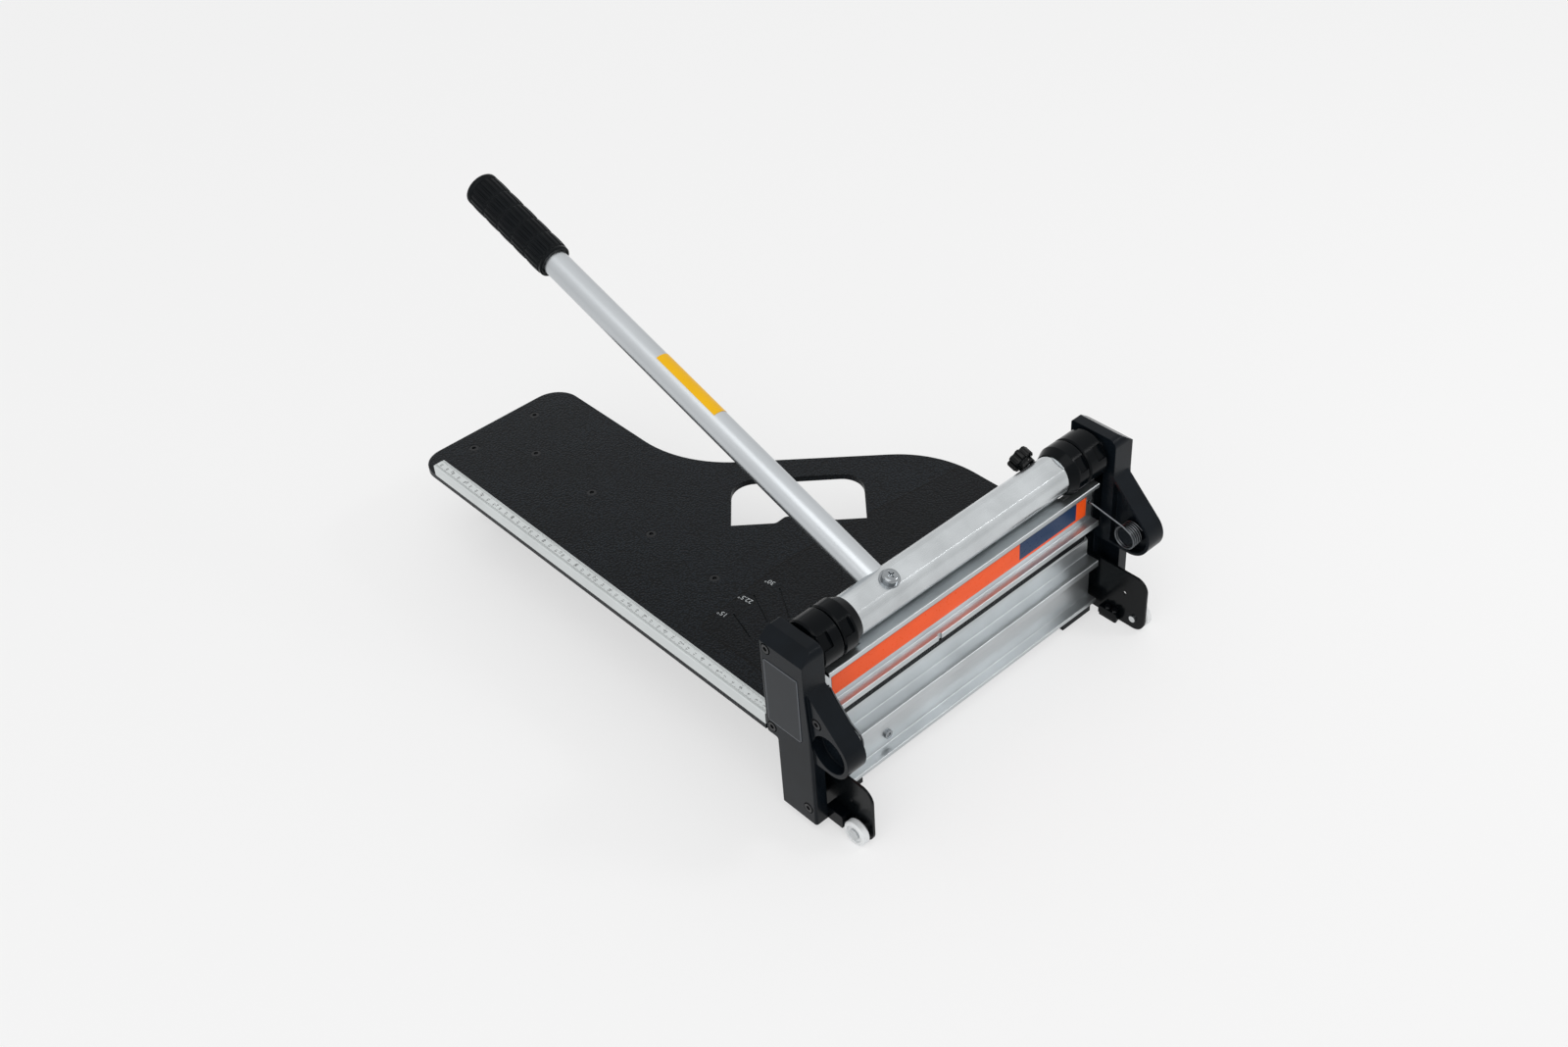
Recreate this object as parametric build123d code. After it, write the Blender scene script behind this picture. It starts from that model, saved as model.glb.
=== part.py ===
from build123d import *
import math
import os

# Bench cutter for laminate flooring, in millimetres.
# X runs across the head, Y from the head to the far end of the base plate, Z up.
# The pieces are drawn with Y zero at the middle of the head and Z zero at the soles of its legs,
# then moved so that the origin is on the floor at the middle of the footprint.
# It stands on rubber pads, which keep the legs clear of the floor.
# The handle is down: the blade stands on the anvil strip.

# Clearances and overrun
overrun = 2.0
running_gap = 0.3
shaft_gap = 0.05
screw_gap = 0.1

# Head frame
head_width = 406.6
housing_thick = 23.9
housing_depth = 51.6
housing_top = 190.9
bar_y = 2.6
bar_z = 168.5
housing_outer = head_width / 2
housing_inner = housing_outer - housing_thick
housing_back = housing_depth / 2
housing_front = -housing_depth / 2
profile_inset = 10.7
profile_half = housing_inner - profile_inset
sole_height = 8.9
floor_z = -sole_height

# Base plate
plate_top = 83.8
plate_thick = 6.0
plate_near = -9.0
plate_far = 549.6
plate_right_inset = 5.0
plate_neck_right = -24.3
plate_shoulder_y = 176.8
plate_waist_y = 349.0
plate_shoulder_radius = 110.0
plate_waist_radius = 130.0
plate_far_left_radius = 25.0
plate_far_right_radius = 28.0
plate_bottom = plate_top - plate_thick
plate_left = -housing_outer
plate_right = profile_half - plate_right_inset

# Hand hole in the plate
hand_left_x = -52.9
hand_left_y = 241.9
hand_length = 129.4
hand_width = 69.0
hand_radius = 23.0
hand_bump_start = 43.0
hand_bump_end = 99.0
hand_bump_height = 9.0
hand_bump_radius = 6.0
hand_angle = -41.67

# Angle marks cut in the plate: far end and near end of each
mark_width = 1.2
mark_depth = 0.8
mark_15 = ((-132.6, 147.7), (-142.7, 114.0))
mark_22 = ((-103.3, 152.8), (-119.2, 116.7))
mark_30 = ((-80.8, 142.5), (-101.6, 107.5))
mark_45 = ((-6.0, 139.0), (-39.1, 104.3))

# Ruler fence
fence_width = 12.8
fence_height = 11.7
fence_far = 518.7
fence_edge = 1.0
fence_rebate = 0.5
scale_groove_width = 0.8
scale_groove_depth = 0.6
scale_groove_inset = 1.6

# Anvil strip under the blade
blade_inset = 7.7
anvil_length = 2 * (profile_half - blade_inset)
anvil_front = -8.0
anvil_width = 11.0
anvil_thick = 3.0

# Countersunk screws of the plate
screw_head_radius = 5.0
screw_shank_radius = 2.5
screw_head_depth = 2.6
screw_head_rim = 0.6
screw_length = 13.0
screw_sink = 0.3
recess_radius = 2.2
recess_depth = 1.4

# Support rail and far foot
rail_inset = 90.8
rail_x = plate_left + rail_inset
rail_width = 30.0
rail_height = 60.0
rail_wall = 2.0
rail_end_thick = 3.0
rail_screw_first = 196.6
rail_screw_pitch = 92.1
rail_screw_count = 4
foot_near = 516.0
foot_depth = 25.0
foot_width = 104.0
foot_sheet = 3.0
foot_bend = 3.0
foot_screw_spacing = 76.5
foot_screw_y = 527.3
pad_thick = 3.0
foot_pad_length = 24.0

# Bed profile
bed_back = 22.0
bed_wall = 3.0
bed_top_front = -7.0
bed_web_front = -9.0
bed_low_web_front = -13.0
bed_lip_front = -23.0
bed_lip_low = 50.8
bed_lip_high = 58.0
bed_low = 7.0
bed_foot_high = 10.8
bed_crest = 3.0
profile_fillet = 1.0
bed_screw_offset = 11.5
bed_screw_x = rail_x + bed_screw_offset
bed_screw_z = 23.0
bed_pad_right_length = 39.2
bed_pad_left_length = 32.7
bed_pad_end = profile_half
bed_pad_front = -16.7

# End plates and roller brackets
bracket_thick = 2.4
bracket_outer = housing_inner
bracket_inner = bracket_outer - bracket_thick
bracket_front = -74.0
bracket_top = 53.5
bracket_rear = 11.0
bracket_clear = 0.3
bracket_low = floor_z + bracket_clear
bracket_top_radius = 13.0
bracket_foot_radius = 13.0
bracket_hole_y = -49.0
bracket_hole_z = 27.8
bracket_hole_radius = 2.2
flange_width = 6.5
flange_inner = bracket_inner - flange_width
flange_near = -25.0
flange_far = -46.5
end_plate_front = -8.5
end_plate_back = 20.0
block_outer_height = 14.0
block_outer_front = -48.0
block_outer_back = -28.0
block_inner_height = 8.2
block_edge = 1.5
block_bolt_shares = (0.42, 0.79)
block_bolt_radius = 3.2
block_bolt_height = 2.6

# Rollers
roller_y = -61.3
roller_radius = 12.3
roller_clear = 0.1
roller_z = floor_z + roller_radius + roller_clear
roller_crown = 1.4
roller_thick = 8.1
roller_offset = 2.77
roller_recess_radius = 8.5
roller_recess_depth = 1.8
axle_radius = 2.8
axle_head_radius = 5.0
axle_head_thick = 1.5
axle_collar_radius = 5.0
axle_end_radius = 3.4
axle_end_thick = 2.2

# Housing casting
ridge_inset = 12.9
ridge_x = housing_outer - ridge_inset
slope_drop = 9.5
leg_back = 11.3
leg_front = -30.0
leg_swell_high = 150.0
leg_swell_low = 90.0
leg_thick = 13.3
leg_web_front = -8.0
housing_rear_radius = 4.0
housing_top_front_radius = 8.0
housing_small_radius = 2.5
housing_swell_radius = 60.0
ear_y = -47.5
ear_z = 97.5
ear_radius = 22.5
ear_step = 3.3
ear_outer = housing_outer - ear_step
ear_rim = 3.0
ear_root = 6.0
ear_pocket_depth = 7.4
ear_floor_x = housing_inner + ear_pocket_depth
ear_floor_thick = 2.6
ear_recess_radius = 18.4
mandrel_radius = 8.5
mandrel_reach = 5.4
mandrel_end = housing_inner - mandrel_reach
badge_front = -19.0
badge_width = 40.0
badge_low = 93.5
badge_height = 70.0
badge_thick = 1.4
badge_sink = 0.9
badge_radius = 2.5
groove_half = 13.0
groove_depth = 9.0
groove_low = 88.0
groove_high = 158.5

# Pan screws let into the housings: y, z and the face they are in
pan_radius = 4.4
pan_height = 2.4
pan_well_radius = 5.4
pan_well_depth = 2.0
pan_shank_length = 12.0
housing_screw_upper = (17.5, 175.7)
housing_screw_lower = (17.6, 86.6)
housing_screw_leg = (-21.0, 15.8)
ear_screw = (-35.0, 124.0)

# Rocker: bar, journals, collars
swing_radius = 10.0
swing_start = -45.0
bar_radius = 19.3
bar_inset = 9.4
bar_half = housing_inner - bar_inset
facet_half_width = 8.0
journal_radius = 7.0
journal_depth = 15.0
journal_socket = 14.0
collar_radius = 24.1
collar_lead_length = 9.0
collar_lead_rim = 0.8
collar_inset = 4.4
collar_length = 47.0
collar_outer_x = housing_inner - collar_inset
collar_inner_x = collar_outer_x - collar_length
collar_split_x = (collar_inner_x + collar_outer_x) / 2
collar_split_gap = 0.8
collar_edge = 1.6
collar_bore_gap = 0.05
pocket_depth = 2.8
pocket_length = 10.8
pocket_width = 14.0
pocket_turn = 145.0
pocket_shift = 5.0

# Handle
handle_x = -82.8
handle_tilt = 18.95
handle_radius = 12.8
handle_wall = 2.0
handle_inner_end = -11.0
handle_outer_end = 556.0
grip_overlap = 109.5
grip_end_thick = 5.0
grip_start = handle_outer_end - grip_overlap
grip_end = handle_outer_end + grip_end_thick
grip_core_radius = 16.2
grip_radius = 17.6
grip_flange_radius = 16.8
grip_flange_thick = 3.5
grip_cap_length = 7.5
grip_cap_start = grip_end - grip_cap_length
grip_cap_radius = 17.2
grip_wall = 0.05
grip_round = 3.0
grip_ribs_around = 20
grip_rib_rows = 5
grip_rib_gap = 1.8
grip_groove = 2.2
label_start = 217.6
label_length = 79.1
label_thick = 0.25
label_glue = 0.03
label_sweep = 170.0
bolt_radius = 4.0
bolt_head_radius = 7.4
bolt_head_height = 5.2
bolt_head_round = 2.5
bolt_washer_radius = 9.3
bolt_washer_thick = 1.5
bolt_cross_radius = 3.2
bolt_cross_width = 1.4
bolt_cross_depth = 2.2
bolt_end = -14.0

# Star knob on its stud
knob_inset = 11.2
knob_x = collar_inner_x - knob_inset
knob_start = 19.7
knob_thick = 10.2
knob_radius = 11.7
knob_lobes = 8
knob_flute_radius = 3.2
knob_flute_offset = 1.2
knob_hub_radius = 8.0
knob_hub_length = 5.6
knob_edge = 1.5
knob_bore_depth = 11.0
stud_radius = 3.0
stud_root = 11.0

# Blade carriage
carriage_top = 147.5
carriage_top_wall = 4.2
carriage_top_front = -18.8
carriage_back = 22.0
carriage_web_front = -11.0
carriage_web_thick = 3.5
carriage_low = 98.6
carriage_flange_high = 104.8
carriage_flange_front = -20.3
carriage_lip_drop = 12.0
seat_play = 0.6
seat_length_gap = 1.5
lift_height = 2 * swing_radius * math.sin(math.radians(-swing_start))
blade_length = anvil_length
blade_thick = 3.0
blade_high = 140.0
blade_bevel = 7.0
blade_land = 0.4
blade_screw_inset = 21.0
blade_screw_count = 5
blade_screw_pitch = (blade_length - 2 * blade_screw_inset) / (blade_screw_count - 1)
blade_screw_z = 122.0
blade_screw_radius = 5.5
blade_screw_height = 3.2
blade_shank_radius = 2.5
guide_tongue_length = 16.7
guide_tongue_back = 8.0
guide_low = 99.0
guide_top_gap = 0.9
guide_edge = 1.5
label_inset = 8.7
label_half_length = profile_half - label_inset
carriage_label_low = 111.0
carriage_label_high = 132.0
carriage_label_thick = 0.3
notch_x = -41.0
notch_width = 4.0
notch_depth = 2.0

# Torsion springs
wire_radius = 1.0
coil_radius = 11.0
coil_pitch = 2.6
coil_turns = 5
coil_inset = 5.1
coil_start_x = housing_inner + coil_inset
leg_angle = 114.2
short_leg = 7.0
leg_lead = 8.0
hook_inset = 4.5
hook_x = profile_half - hook_inset
hook_y = -13.8
hook_end_y = -6.2
hook_hole_radius = 1.7
hook_bend = 2.5

# Places that follow from the sizes above
anvil_back = anvil_front + anvil_width
rail_top = plate_bottom
rail_low = rail_top - rail_height
leg_inner = housing_outer - leg_thick
foot_low = floor_z + pad_thick
block_low = bracket_low + bracket_thick
roller_low_x = bracket_outer + roller_offset
roller_high_x = roller_low_x + roller_thick
axis_y = bar_y - swing_radius * math.cos(math.radians(swing_start))
axis_z = bar_z - swing_radius * math.sin(math.radians(swing_start))
sway = swing_radius * (1 - math.cos(math.radians(swing_start)))
seat_y = bar_y + sway / 2
seat_radius = collar_radius + sway / 2 + seat_play
carriage_web_back = carriage_web_front + carriage_web_thick
blade_back = carriage_web_back + blade_thick
blade_edge_z = plate_top + running_gap
guide_half = groove_half - running_gap
guide_outer = housing_inner + groove_depth - running_gap
guide_high = bar_z - seat_radius - guide_top_gap
roller_front = roller_y - roller_radius
centre_y = (plate_far + min(roller_front, bracket_front)) / 2

handle_frame = Plane(
    origin=(handle_x, bar_y, bar_z),
    x_dir=(1, 0, 0),
    z_dir=(0, math.cos(math.radians(handle_tilt)), math.sin(math.radians(handle_tilt))),
)
bolt_frame = Plane(
    origin=(handle_x, bar_y, bar_z),
    x_dir=(1, 0, 0),
    z_dir=(0, -math.sin(math.radians(handle_tilt)), math.cos(math.radians(handle_tilt))),
)
knob_frame = Plane(
    origin=(knob_x, bar_y, bar_z),
    x_dir=(1, 0, 0),
    z_dir=(0, math.cos(math.radians(handle_tilt)), math.sin(math.radians(handle_tilt))),
)
facet_height = math.sqrt(bar_radius**2 - facet_half_width**2)


# Drawing helpers
def block(x_span, y_span, z_span):
    """Box between two values on each axis."""
    (x_low, x_high), (y_low, y_high), (z_low, z_high) = x_span, y_span, z_span
    middle = Pos((x_low + x_high) / 2, (y_low + y_high) / 2, (z_low + z_high) / 2)
    return middle * Box(x_high - x_low, y_high - y_low, z_high - z_low)


def outline(corners):
    """Face from corners given as (u, v, corner radius)."""
    points = [(u, v) for u, v, radius in corners]
    radii = [radius for u, v, radius in corners]
    return make_face(FilletPolyline(*points, radius=radii, close=True))


def prism_x(corners, x_low, x_high):
    """Outline of (y, z, corner radius) carried along X."""
    face = Plane.YZ * outline(corners)
    return Pos(x_low, 0, 0) * extrude(face, x_high - x_low, dir=(1, 0, 0))


def prism_y(corners, y_low, y_high):
    """Outline of (x, z, corner radius) carried along Y."""
    face = Plane.XZ * outline(corners)
    return Pos(0, y_low, 0) * extrude(face, y_high - y_low, dir=(0, 1, 0))


def prism_z(corners, z_low, z_high):
    """Outline of (x, y, corner radius) carried up Z."""
    return Pos(0, 0, z_low) * extrude(outline(corners), z_high - z_low, dir=(0, 0, 1))


def rod_x(y, z, radius, x_low, x_high):
    """Round rod along X."""
    return Pos((x_low + x_high) / 2, y, z) * Rot(0, 90, 0) * Cylinder(radius, x_high - x_low)


def rod_y(x, z, radius, y_low, y_high):
    """Round rod along Y."""
    return Pos(x, (y_low + y_high) / 2, z) * Rot(90, 0, 0) * Cylinder(radius, y_high - y_low)


def rod_z(x, y, radius, z_low, z_high):
    """Round rod along Z."""
    return Pos(x, y, (z_low + z_high) / 2) * Cylinder(radius, z_high - z_low)


def spun(corners):
    """Solid turned about Z from an outline of (radius, height, corner radius)."""
    return revolve(Plane.XZ * outline(corners), Axis.Z)


def along(frame, radius, low, high):
    """Round rod on the Z axis of a frame, from low to high."""
    return frame * Pos(0, 0, (low + high) / 2) * Cylinder(radius, high - low)


def mirrored(shape):
    """The left piece from the right one."""
    return mirror(shape, about=Plane.YZ)


# Base plate
def hand_point(along_edge, away):
    """Point of the hand hole, measured along its near edge and away from it."""
    turn = math.radians(hand_angle)
    x = hand_left_x + along_edge * math.cos(turn) - away * math.sin(turn)
    y = hand_left_y + along_edge * math.sin(turn) + away * math.cos(turn)
    return x, y


def hand_hole():
    """Hand hole with its finger rise on the near edge, through the plate."""
    places = [
        (0, 0, 0),
        (hand_bump_start, 0, hand_bump_radius),
        (hand_bump_start + hand_bump_height, hand_bump_height, hand_bump_radius),
        (hand_bump_end - hand_bump_height, hand_bump_height, hand_bump_radius),
        (hand_bump_end, 0, hand_bump_radius),
        (hand_length, 0, 0),
        (hand_length, hand_width, hand_radius),
        (0, hand_width, hand_radius),
    ]
    corners = [(*hand_point(along_edge, away), radius) for along_edge, away, radius in places]
    return prism_z(corners, plate_bottom - overrun, plate_top + overrun)


def angle_mark(ends):
    """Shallow groove along one angle mark."""
    (far_x, far_y), (near_x, near_y) = ends
    length = math.hypot(far_x - near_x, far_y - near_y)
    turn = math.degrees(math.atan2(far_y - near_y, far_x - near_x))
    middle = Pos((far_x + near_x) / 2, (far_y + near_y) / 2, plate_top)
    return middle * Rot(0, 0, turn) * Box(length, mark_width, 2 * mark_depth)


def plate_screw_places():
    """Where the plate is screwed to its rail and its far foot."""
    rail_places = [(rail_x, rail_screw_first + rail_screw_pitch * i) for i in range(rail_screw_count)]
    foot_places = [(rail_x + side * foot_screw_spacing / 2, foot_screw_y) for side in (-1, 1)]
    return rail_places + foot_places


def screw_body(gap):
    """Countersunk screw with its head's top at zero, swollen by a gap."""
    head = screw_head_radius + gap
    shank = screw_shank_radius + gap
    return spun([
        (0, -screw_length - gap, 0),
        (shank, -screw_length - gap, 0),
        (shank, -screw_head_depth - gap, 0),
        (head, -screw_head_rim - gap, 0),
        (head, 0, 0),
        (0, 0, 0),
    ])


def base_plate():
    """Board that the plank lies on, with its step round the left housing and the fence's rebate."""
    step_x = -housing_inner + running_gap
    step_y = housing_back + running_gap
    plate = prism_z(
        [
            (plate_right, plate_near, 0),
            (plate_right, plate_shoulder_y, plate_shoulder_radius),
            (plate_neck_right, plate_waist_y, plate_waist_radius),
            (plate_neck_right, plate_far, plate_far_right_radius),
            (plate_left, plate_far, plate_far_left_radius),
            (plate_left, step_y, 0),
            (step_x, step_y, 0),
            (step_x, plate_near, 0),
        ],
        plate_bottom,
        plate_top,
    )
    plate -= hand_hole()
    plate -= block(
        (plate_left - overrun, plate_left + fence_width + screw_gap),
        (housing_back, fence_far + screw_gap),
        (plate_top - fence_rebate, plate_top + overrun),
    )
    plate -= block(
        (-anvil_length / 2 - screw_gap, anvil_length / 2 + screw_gap),
        (anvil_front - screw_gap, anvil_back + screw_gap),
        (plate_top - anvil_thick, plate_top + overrun),
    )
    for ends in (mark_15, mark_22, mark_30, mark_45):
        plate -= angle_mark(ends)
    for x, y in plate_screw_places():
        plate -= Pos(x, y, plate_top - screw_sink) * screw_body(screw_gap)
        plate -= rod_z(x, y, screw_head_radius + screw_gap, plate_top - screw_sink, plate_top + overrun)
    return plate


def plate_screws():
    """Countersunk screws of the plate, each with a driver recess."""
    screw = screw_body(0) - rod_z(0, 0, recess_radius, -recess_depth, overrun)
    return Compound(children=[Pos(x, y, plate_top - screw_sink) * screw for x, y in plate_screw_places()])


def ruler_fence():
    """Square bar along the left edge, with two fine lines that bound its scale."""
    right = plate_left + fence_width
    top = plate_top + fence_height
    near = housing_back + running_gap
    bar = prism_y(
        [
            (plate_left, plate_top - fence_rebate, 0),
            (right, plate_top - fence_rebate, 0),
            (right, top, fence_edge),
            (plate_left, top, fence_edge),
        ],
        near,
        fence_far,
    )
    for line_x in (plate_left + scale_groove_inset, right - scale_groove_inset):
        bar -= block(
            (line_x - scale_groove_width / 2, line_x + scale_groove_width / 2),
            (near - overrun, fence_far + overrun),
            (top - scale_groove_depth, top + overrun),
        )
    return bar


def anvil_strip():
    """Strip let into the plate, which the blade closes on."""
    return block(
        (-anvil_length / 2, anvil_length / 2),
        (anvil_front, anvil_back),
        (plate_top - anvil_thick, plate_top),
    )


# Supports under the plate
def support_rail():
    """Box rail from the bed to the far foot, with an end plate at the bed."""
    left = rail_x - rail_width / 2
    right = rail_x + rail_width / 2
    rail = block((left, right), (bed_back, foot_near), (rail_low, rail_top))
    rail -= block(
        (left + rail_wall, right - rail_wall),
        (bed_back + rail_end_thick, foot_near + overrun),
        (rail_low + rail_wall, rail_top - rail_wall),
    )
    rail -= rod_y(
        bed_screw_x, bed_screw_z, screw_shank_radius + screw_gap,
        bed_back - overrun, bed_back + rail_end_thick + overrun,
    )
    for x, y in plate_screw_places()[:rail_screw_count]:
        rail -= rod_z(
            x, y, screw_shank_radius + screw_gap, rail_top - rail_wall - overrun, rail_top + overrun
        )
    return rail


def far_foot():
    """Foot folded from sheet, with its screwed top flange and its bottom flange."""
    far = foot_near + foot_depth
    inner_bend = foot_bend - foot_sheet / 2
    foot = prism_x(
        [
            (far, plate_bottom, 0),
            (foot_near, plate_bottom, foot_bend),
            (foot_near, foot_low, foot_bend),
            (far, foot_low, 0),
            (far, foot_low + foot_sheet, 0),
            (foot_near + foot_sheet, foot_low + foot_sheet, inner_bend),
            (foot_near + foot_sheet, plate_bottom - foot_sheet, inner_bend),
            (far, plate_bottom - foot_sheet, 0),
        ],
        rail_x - foot_width / 2,
        rail_x + foot_width / 2,
    )
    for x, y in plate_screw_places()[rail_screw_count:]:
        foot -= rod_z(x, y, screw_shank_radius + screw_gap, plate_bottom - foot_sheet - overrun, plate_top)
    return foot


def far_foot_pads():
    """Rubber pads under the far foot."""
    pads = []
    for side in (-1, 1):
        outer = rail_x + side * foot_width / 2
        inner = outer - side * foot_pad_length
        pads.append(
            block(
                (min(outer, inner), max(outer, inner)),
                (foot_near, foot_near + foot_depth),
                (floor_z, foot_low),
            )
        )
    return Compound(children=pads)


# Bed profile under the plate
def bed_extrusion():
    """Ribbed profile across the head, with two chambers."""
    bed = prism_x(
        [
            (bed_back, bed_low, 0),
            (bed_back, plate_bottom, 0),
            (bed_top_front, plate_bottom, 0),
            (bed_web_front, plate_bottom - bed_crest, profile_fillet),
            (bed_web_front, bed_lip_high, profile_fillet),
            (bed_lip_front, bed_lip_high, profile_fillet),
            (bed_lip_front, bed_lip_low, profile_fillet),
            (bed_low_web_front, bed_lip_low, profile_fillet),
            (bed_low_web_front, bed_foot_high, profile_fillet),
            (bed_lip_front, bed_foot_high, profile_fillet),
            (bed_lip_front, bed_low, 0),
        ],
        -profile_half,
        profile_half,
    )
    upper_chamber = [
        (bed_back - bed_wall, bed_lip_high, profile_fillet),
        (bed_back - bed_wall, plate_bottom - bed_wall, profile_fillet),
        (bed_web_front + bed_wall, plate_bottom - bed_wall, profile_fillet),
        (bed_web_front + bed_wall, bed_lip_high, profile_fillet),
    ]
    lower_chamber = [
        (bed_back - bed_wall, bed_low + bed_wall, profile_fillet),
        (bed_back - bed_wall, bed_lip_high - bed_wall, profile_fillet),
        (bed_low_web_front + bed_wall, bed_lip_high - bed_wall, profile_fillet),
        (bed_low_web_front + bed_wall, bed_low + bed_wall, profile_fillet),
    ]
    for chamber in (upper_chamber, lower_chamber):
        bed -= prism_x(chamber, -profile_half - overrun, profile_half + overrun)
    return bed - rod_y(
        bed_screw_x, bed_screw_z, screw_shank_radius + screw_gap, bed_lip_front, bed_back + overrun
    )


def bed_screw():
    """Pan screw through the bed into the rail's end plate."""
    front = bed_low_web_front
    head = rod_y(bed_screw_x, bed_screw_z, pan_radius, front - pan_height, front)
    head -= rod_y(bed_screw_x, bed_screw_z, recess_radius, front - pan_height - overrun, front - recess_depth)
    return head + rod_y(bed_screw_x, bed_screw_z, screw_shank_radius, front, bed_back + rail_end_thick)


def bed_pads():
    """Rubber pads under both ends of the bed."""
    span = (bed_pad_front, bed_back)
    right = block((bed_pad_end - bed_pad_right_length, bed_pad_end), span, (floor_z, bed_low))
    left = block((-bed_pad_end, -bed_pad_end + bed_pad_left_length), span, (floor_z, bed_low))
    return Compound(children=[left, right])


# Pieces at the right end of the head; the left ones are mirrored
def end_plate():
    """Plate between the bed's end and the roller bracket."""
    return prism_x(
        [
            (end_plate_back, bed_low, block_edge),
            (end_plate_back, plate_bottom, block_edge),
            (end_plate_front, plate_bottom, block_edge),
            (end_plate_front, bed_low, block_edge),
        ],
        profile_half,
        bracket_inner,
    )


def roller_bracket():
    """Sheet bracket that carries the roller, with its bottom flange turned in."""
    sheet = prism_x(
        [
            (bracket_rear, bracket_low, 0),
            (bracket_rear, bracket_top, 0),
            (bracket_front, bracket_top, bracket_top_radius),
            (bracket_front, bracket_low, bracket_foot_radius),
        ],
        bracket_inner,
        bracket_outer,
    )
    flange = prism_z(
        [
            (flange_inner, flange_far, block_edge),
            (bracket_inner + bracket_thick / 2, flange_far + bracket_thick, 0),
            (bracket_inner + bracket_thick / 2, flange_near - bracket_thick, 0),
            (flange_inner, flange_near, block_edge),
        ],
        bracket_low,
        bracket_low + bracket_thick,
    )
    bracket = sheet + flange
    bracket -= rod_x(
        bracket_hole_y, bracket_hole_z, bracket_hole_radius, bracket_inner - overrun, bracket_outer + overrun
    )
    return bracket - rod_x(
        roller_y, roller_z, axle_radius + shaft_gap, bracket_inner - overrun, bracket_outer + overrun
    )


def foot_block_pair():
    """Outer block beside the leg and inner block on the bracket's flange."""
    outer = prism_x(
        [
            (block_outer_back, 0, 0),
            (block_outer_back, block_outer_height, 0),
            (block_outer_front, block_outer_height, block_edge),
            (block_outer_front, 0, block_edge),
        ],
        bracket_outer,
        leg_inner,
    )
    inner = prism_x(
        [
            (flange_near, block_low, 0),
            (flange_near, block_low + block_inner_height, block_edge),
            (flange_far, block_low + block_inner_height, block_edge),
            (flange_far, block_low, 0),
        ],
        flange_inner,
        bracket_inner,
    )
    return [outer, inner]


def bracket_screw_set():
    """Hexagon bolt heads on the inner block."""
    x = (flange_inner + bracket_inner) / 2
    top = block_low + block_inner_height
    hexagon = extrude(RegularPolygon(block_bolt_radius, 6), block_bolt_height)
    reach = flange_far - flange_near
    return [Pos(x, flange_near + share * reach, top) * hexagon for share in block_bolt_shares]


def roller():
    """Nylon roller with bevelled rims and a round recess in each face."""
    half = roller_thick / 2
    web = half - roller_recess_depth
    flat = roller_radius - roller_crown
    wheel = spun([
        (axle_radius + shaft_gap, -web, 0),
        (roller_recess_radius, -web, 0),
        (roller_recess_radius, -half, 0),
        (flat, -half, 0),
        (roller_radius, roller_crown - half, 0),
        (roller_radius, half - roller_crown, 0),
        (flat, half, 0),
        (roller_recess_radius, half, 0),
        (roller_recess_radius, web, 0),
        (axle_radius + shaft_gap, web, 0),
    ])
    return Pos((roller_low_x + roller_high_x) / 2, roller_y, roller_z) * Rot(0, 90, 0) * wheel


def roller_axle():
    """Shouldered axle with its head in the roller's recess, riveted over inside the bracket."""
    seat = roller_high_x - roller_recess_depth + running_gap
    shoulder = roller_low_x + roller_recess_depth - running_gap
    axle = rod_x(roller_y, roller_z, axle_radius, bracket_inner, seat + axle_head_thick)
    axle += rod_x(roller_y, roller_z, axle_head_radius, seat, seat + axle_head_thick)
    axle += rod_x(roller_y, roller_z, axle_collar_radius, bracket_outer, shoulder)
    return axle + rod_x(roller_y, roller_z, axle_end_radius, bracket_inner - axle_end_thick, bracket_inner)


# Housing castings
def ear_face(radius):
    """Outline of the ear: a round end with a top line at 45 degrees to the housing."""
    root_y = housing_front + ear_root
    tangent_y = ear_y - radius * math.sin(math.pi / 4)
    tangent_z = ear_z + radius * math.cos(math.pi / 4)
    wedge = outline([
        (tangent_y, tangent_z, 0),
        (root_y, tangent_z + root_y - tangent_y, 0),
        (root_y, ear_z - radius, 0),
        (ear_y, ear_z - radius, 0),
        (ear_y, ear_z, 0),
    ])
    return Plane.YZ * (wedge + Pos(ear_y, ear_z) * Circle(radius))


def ear_pocket_face():
    """The ear's outline, drawn in by its rim and stopped at the housing's front."""
    inset = ear_face(ear_radius - ear_rim)
    keep = Plane.YZ * outline([
        (ear_y - ear_radius, ear_z - ear_radius, 0),
        (housing_front, ear_z - ear_radius, 0),
        (housing_front, housing_top, 0),
        (ear_y - ear_radius, housing_top, 0),
    ])
    return inset & keep


def housing_screw_places():
    """Pan screws of one housing as (y, z, x of the face)."""
    return [
        (*housing_screw_upper, housing_outer),
        (*housing_screw_lower, housing_outer),
        (*housing_screw_leg, housing_outer),
        (*ear_screw, ear_outer),
    ]


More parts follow.
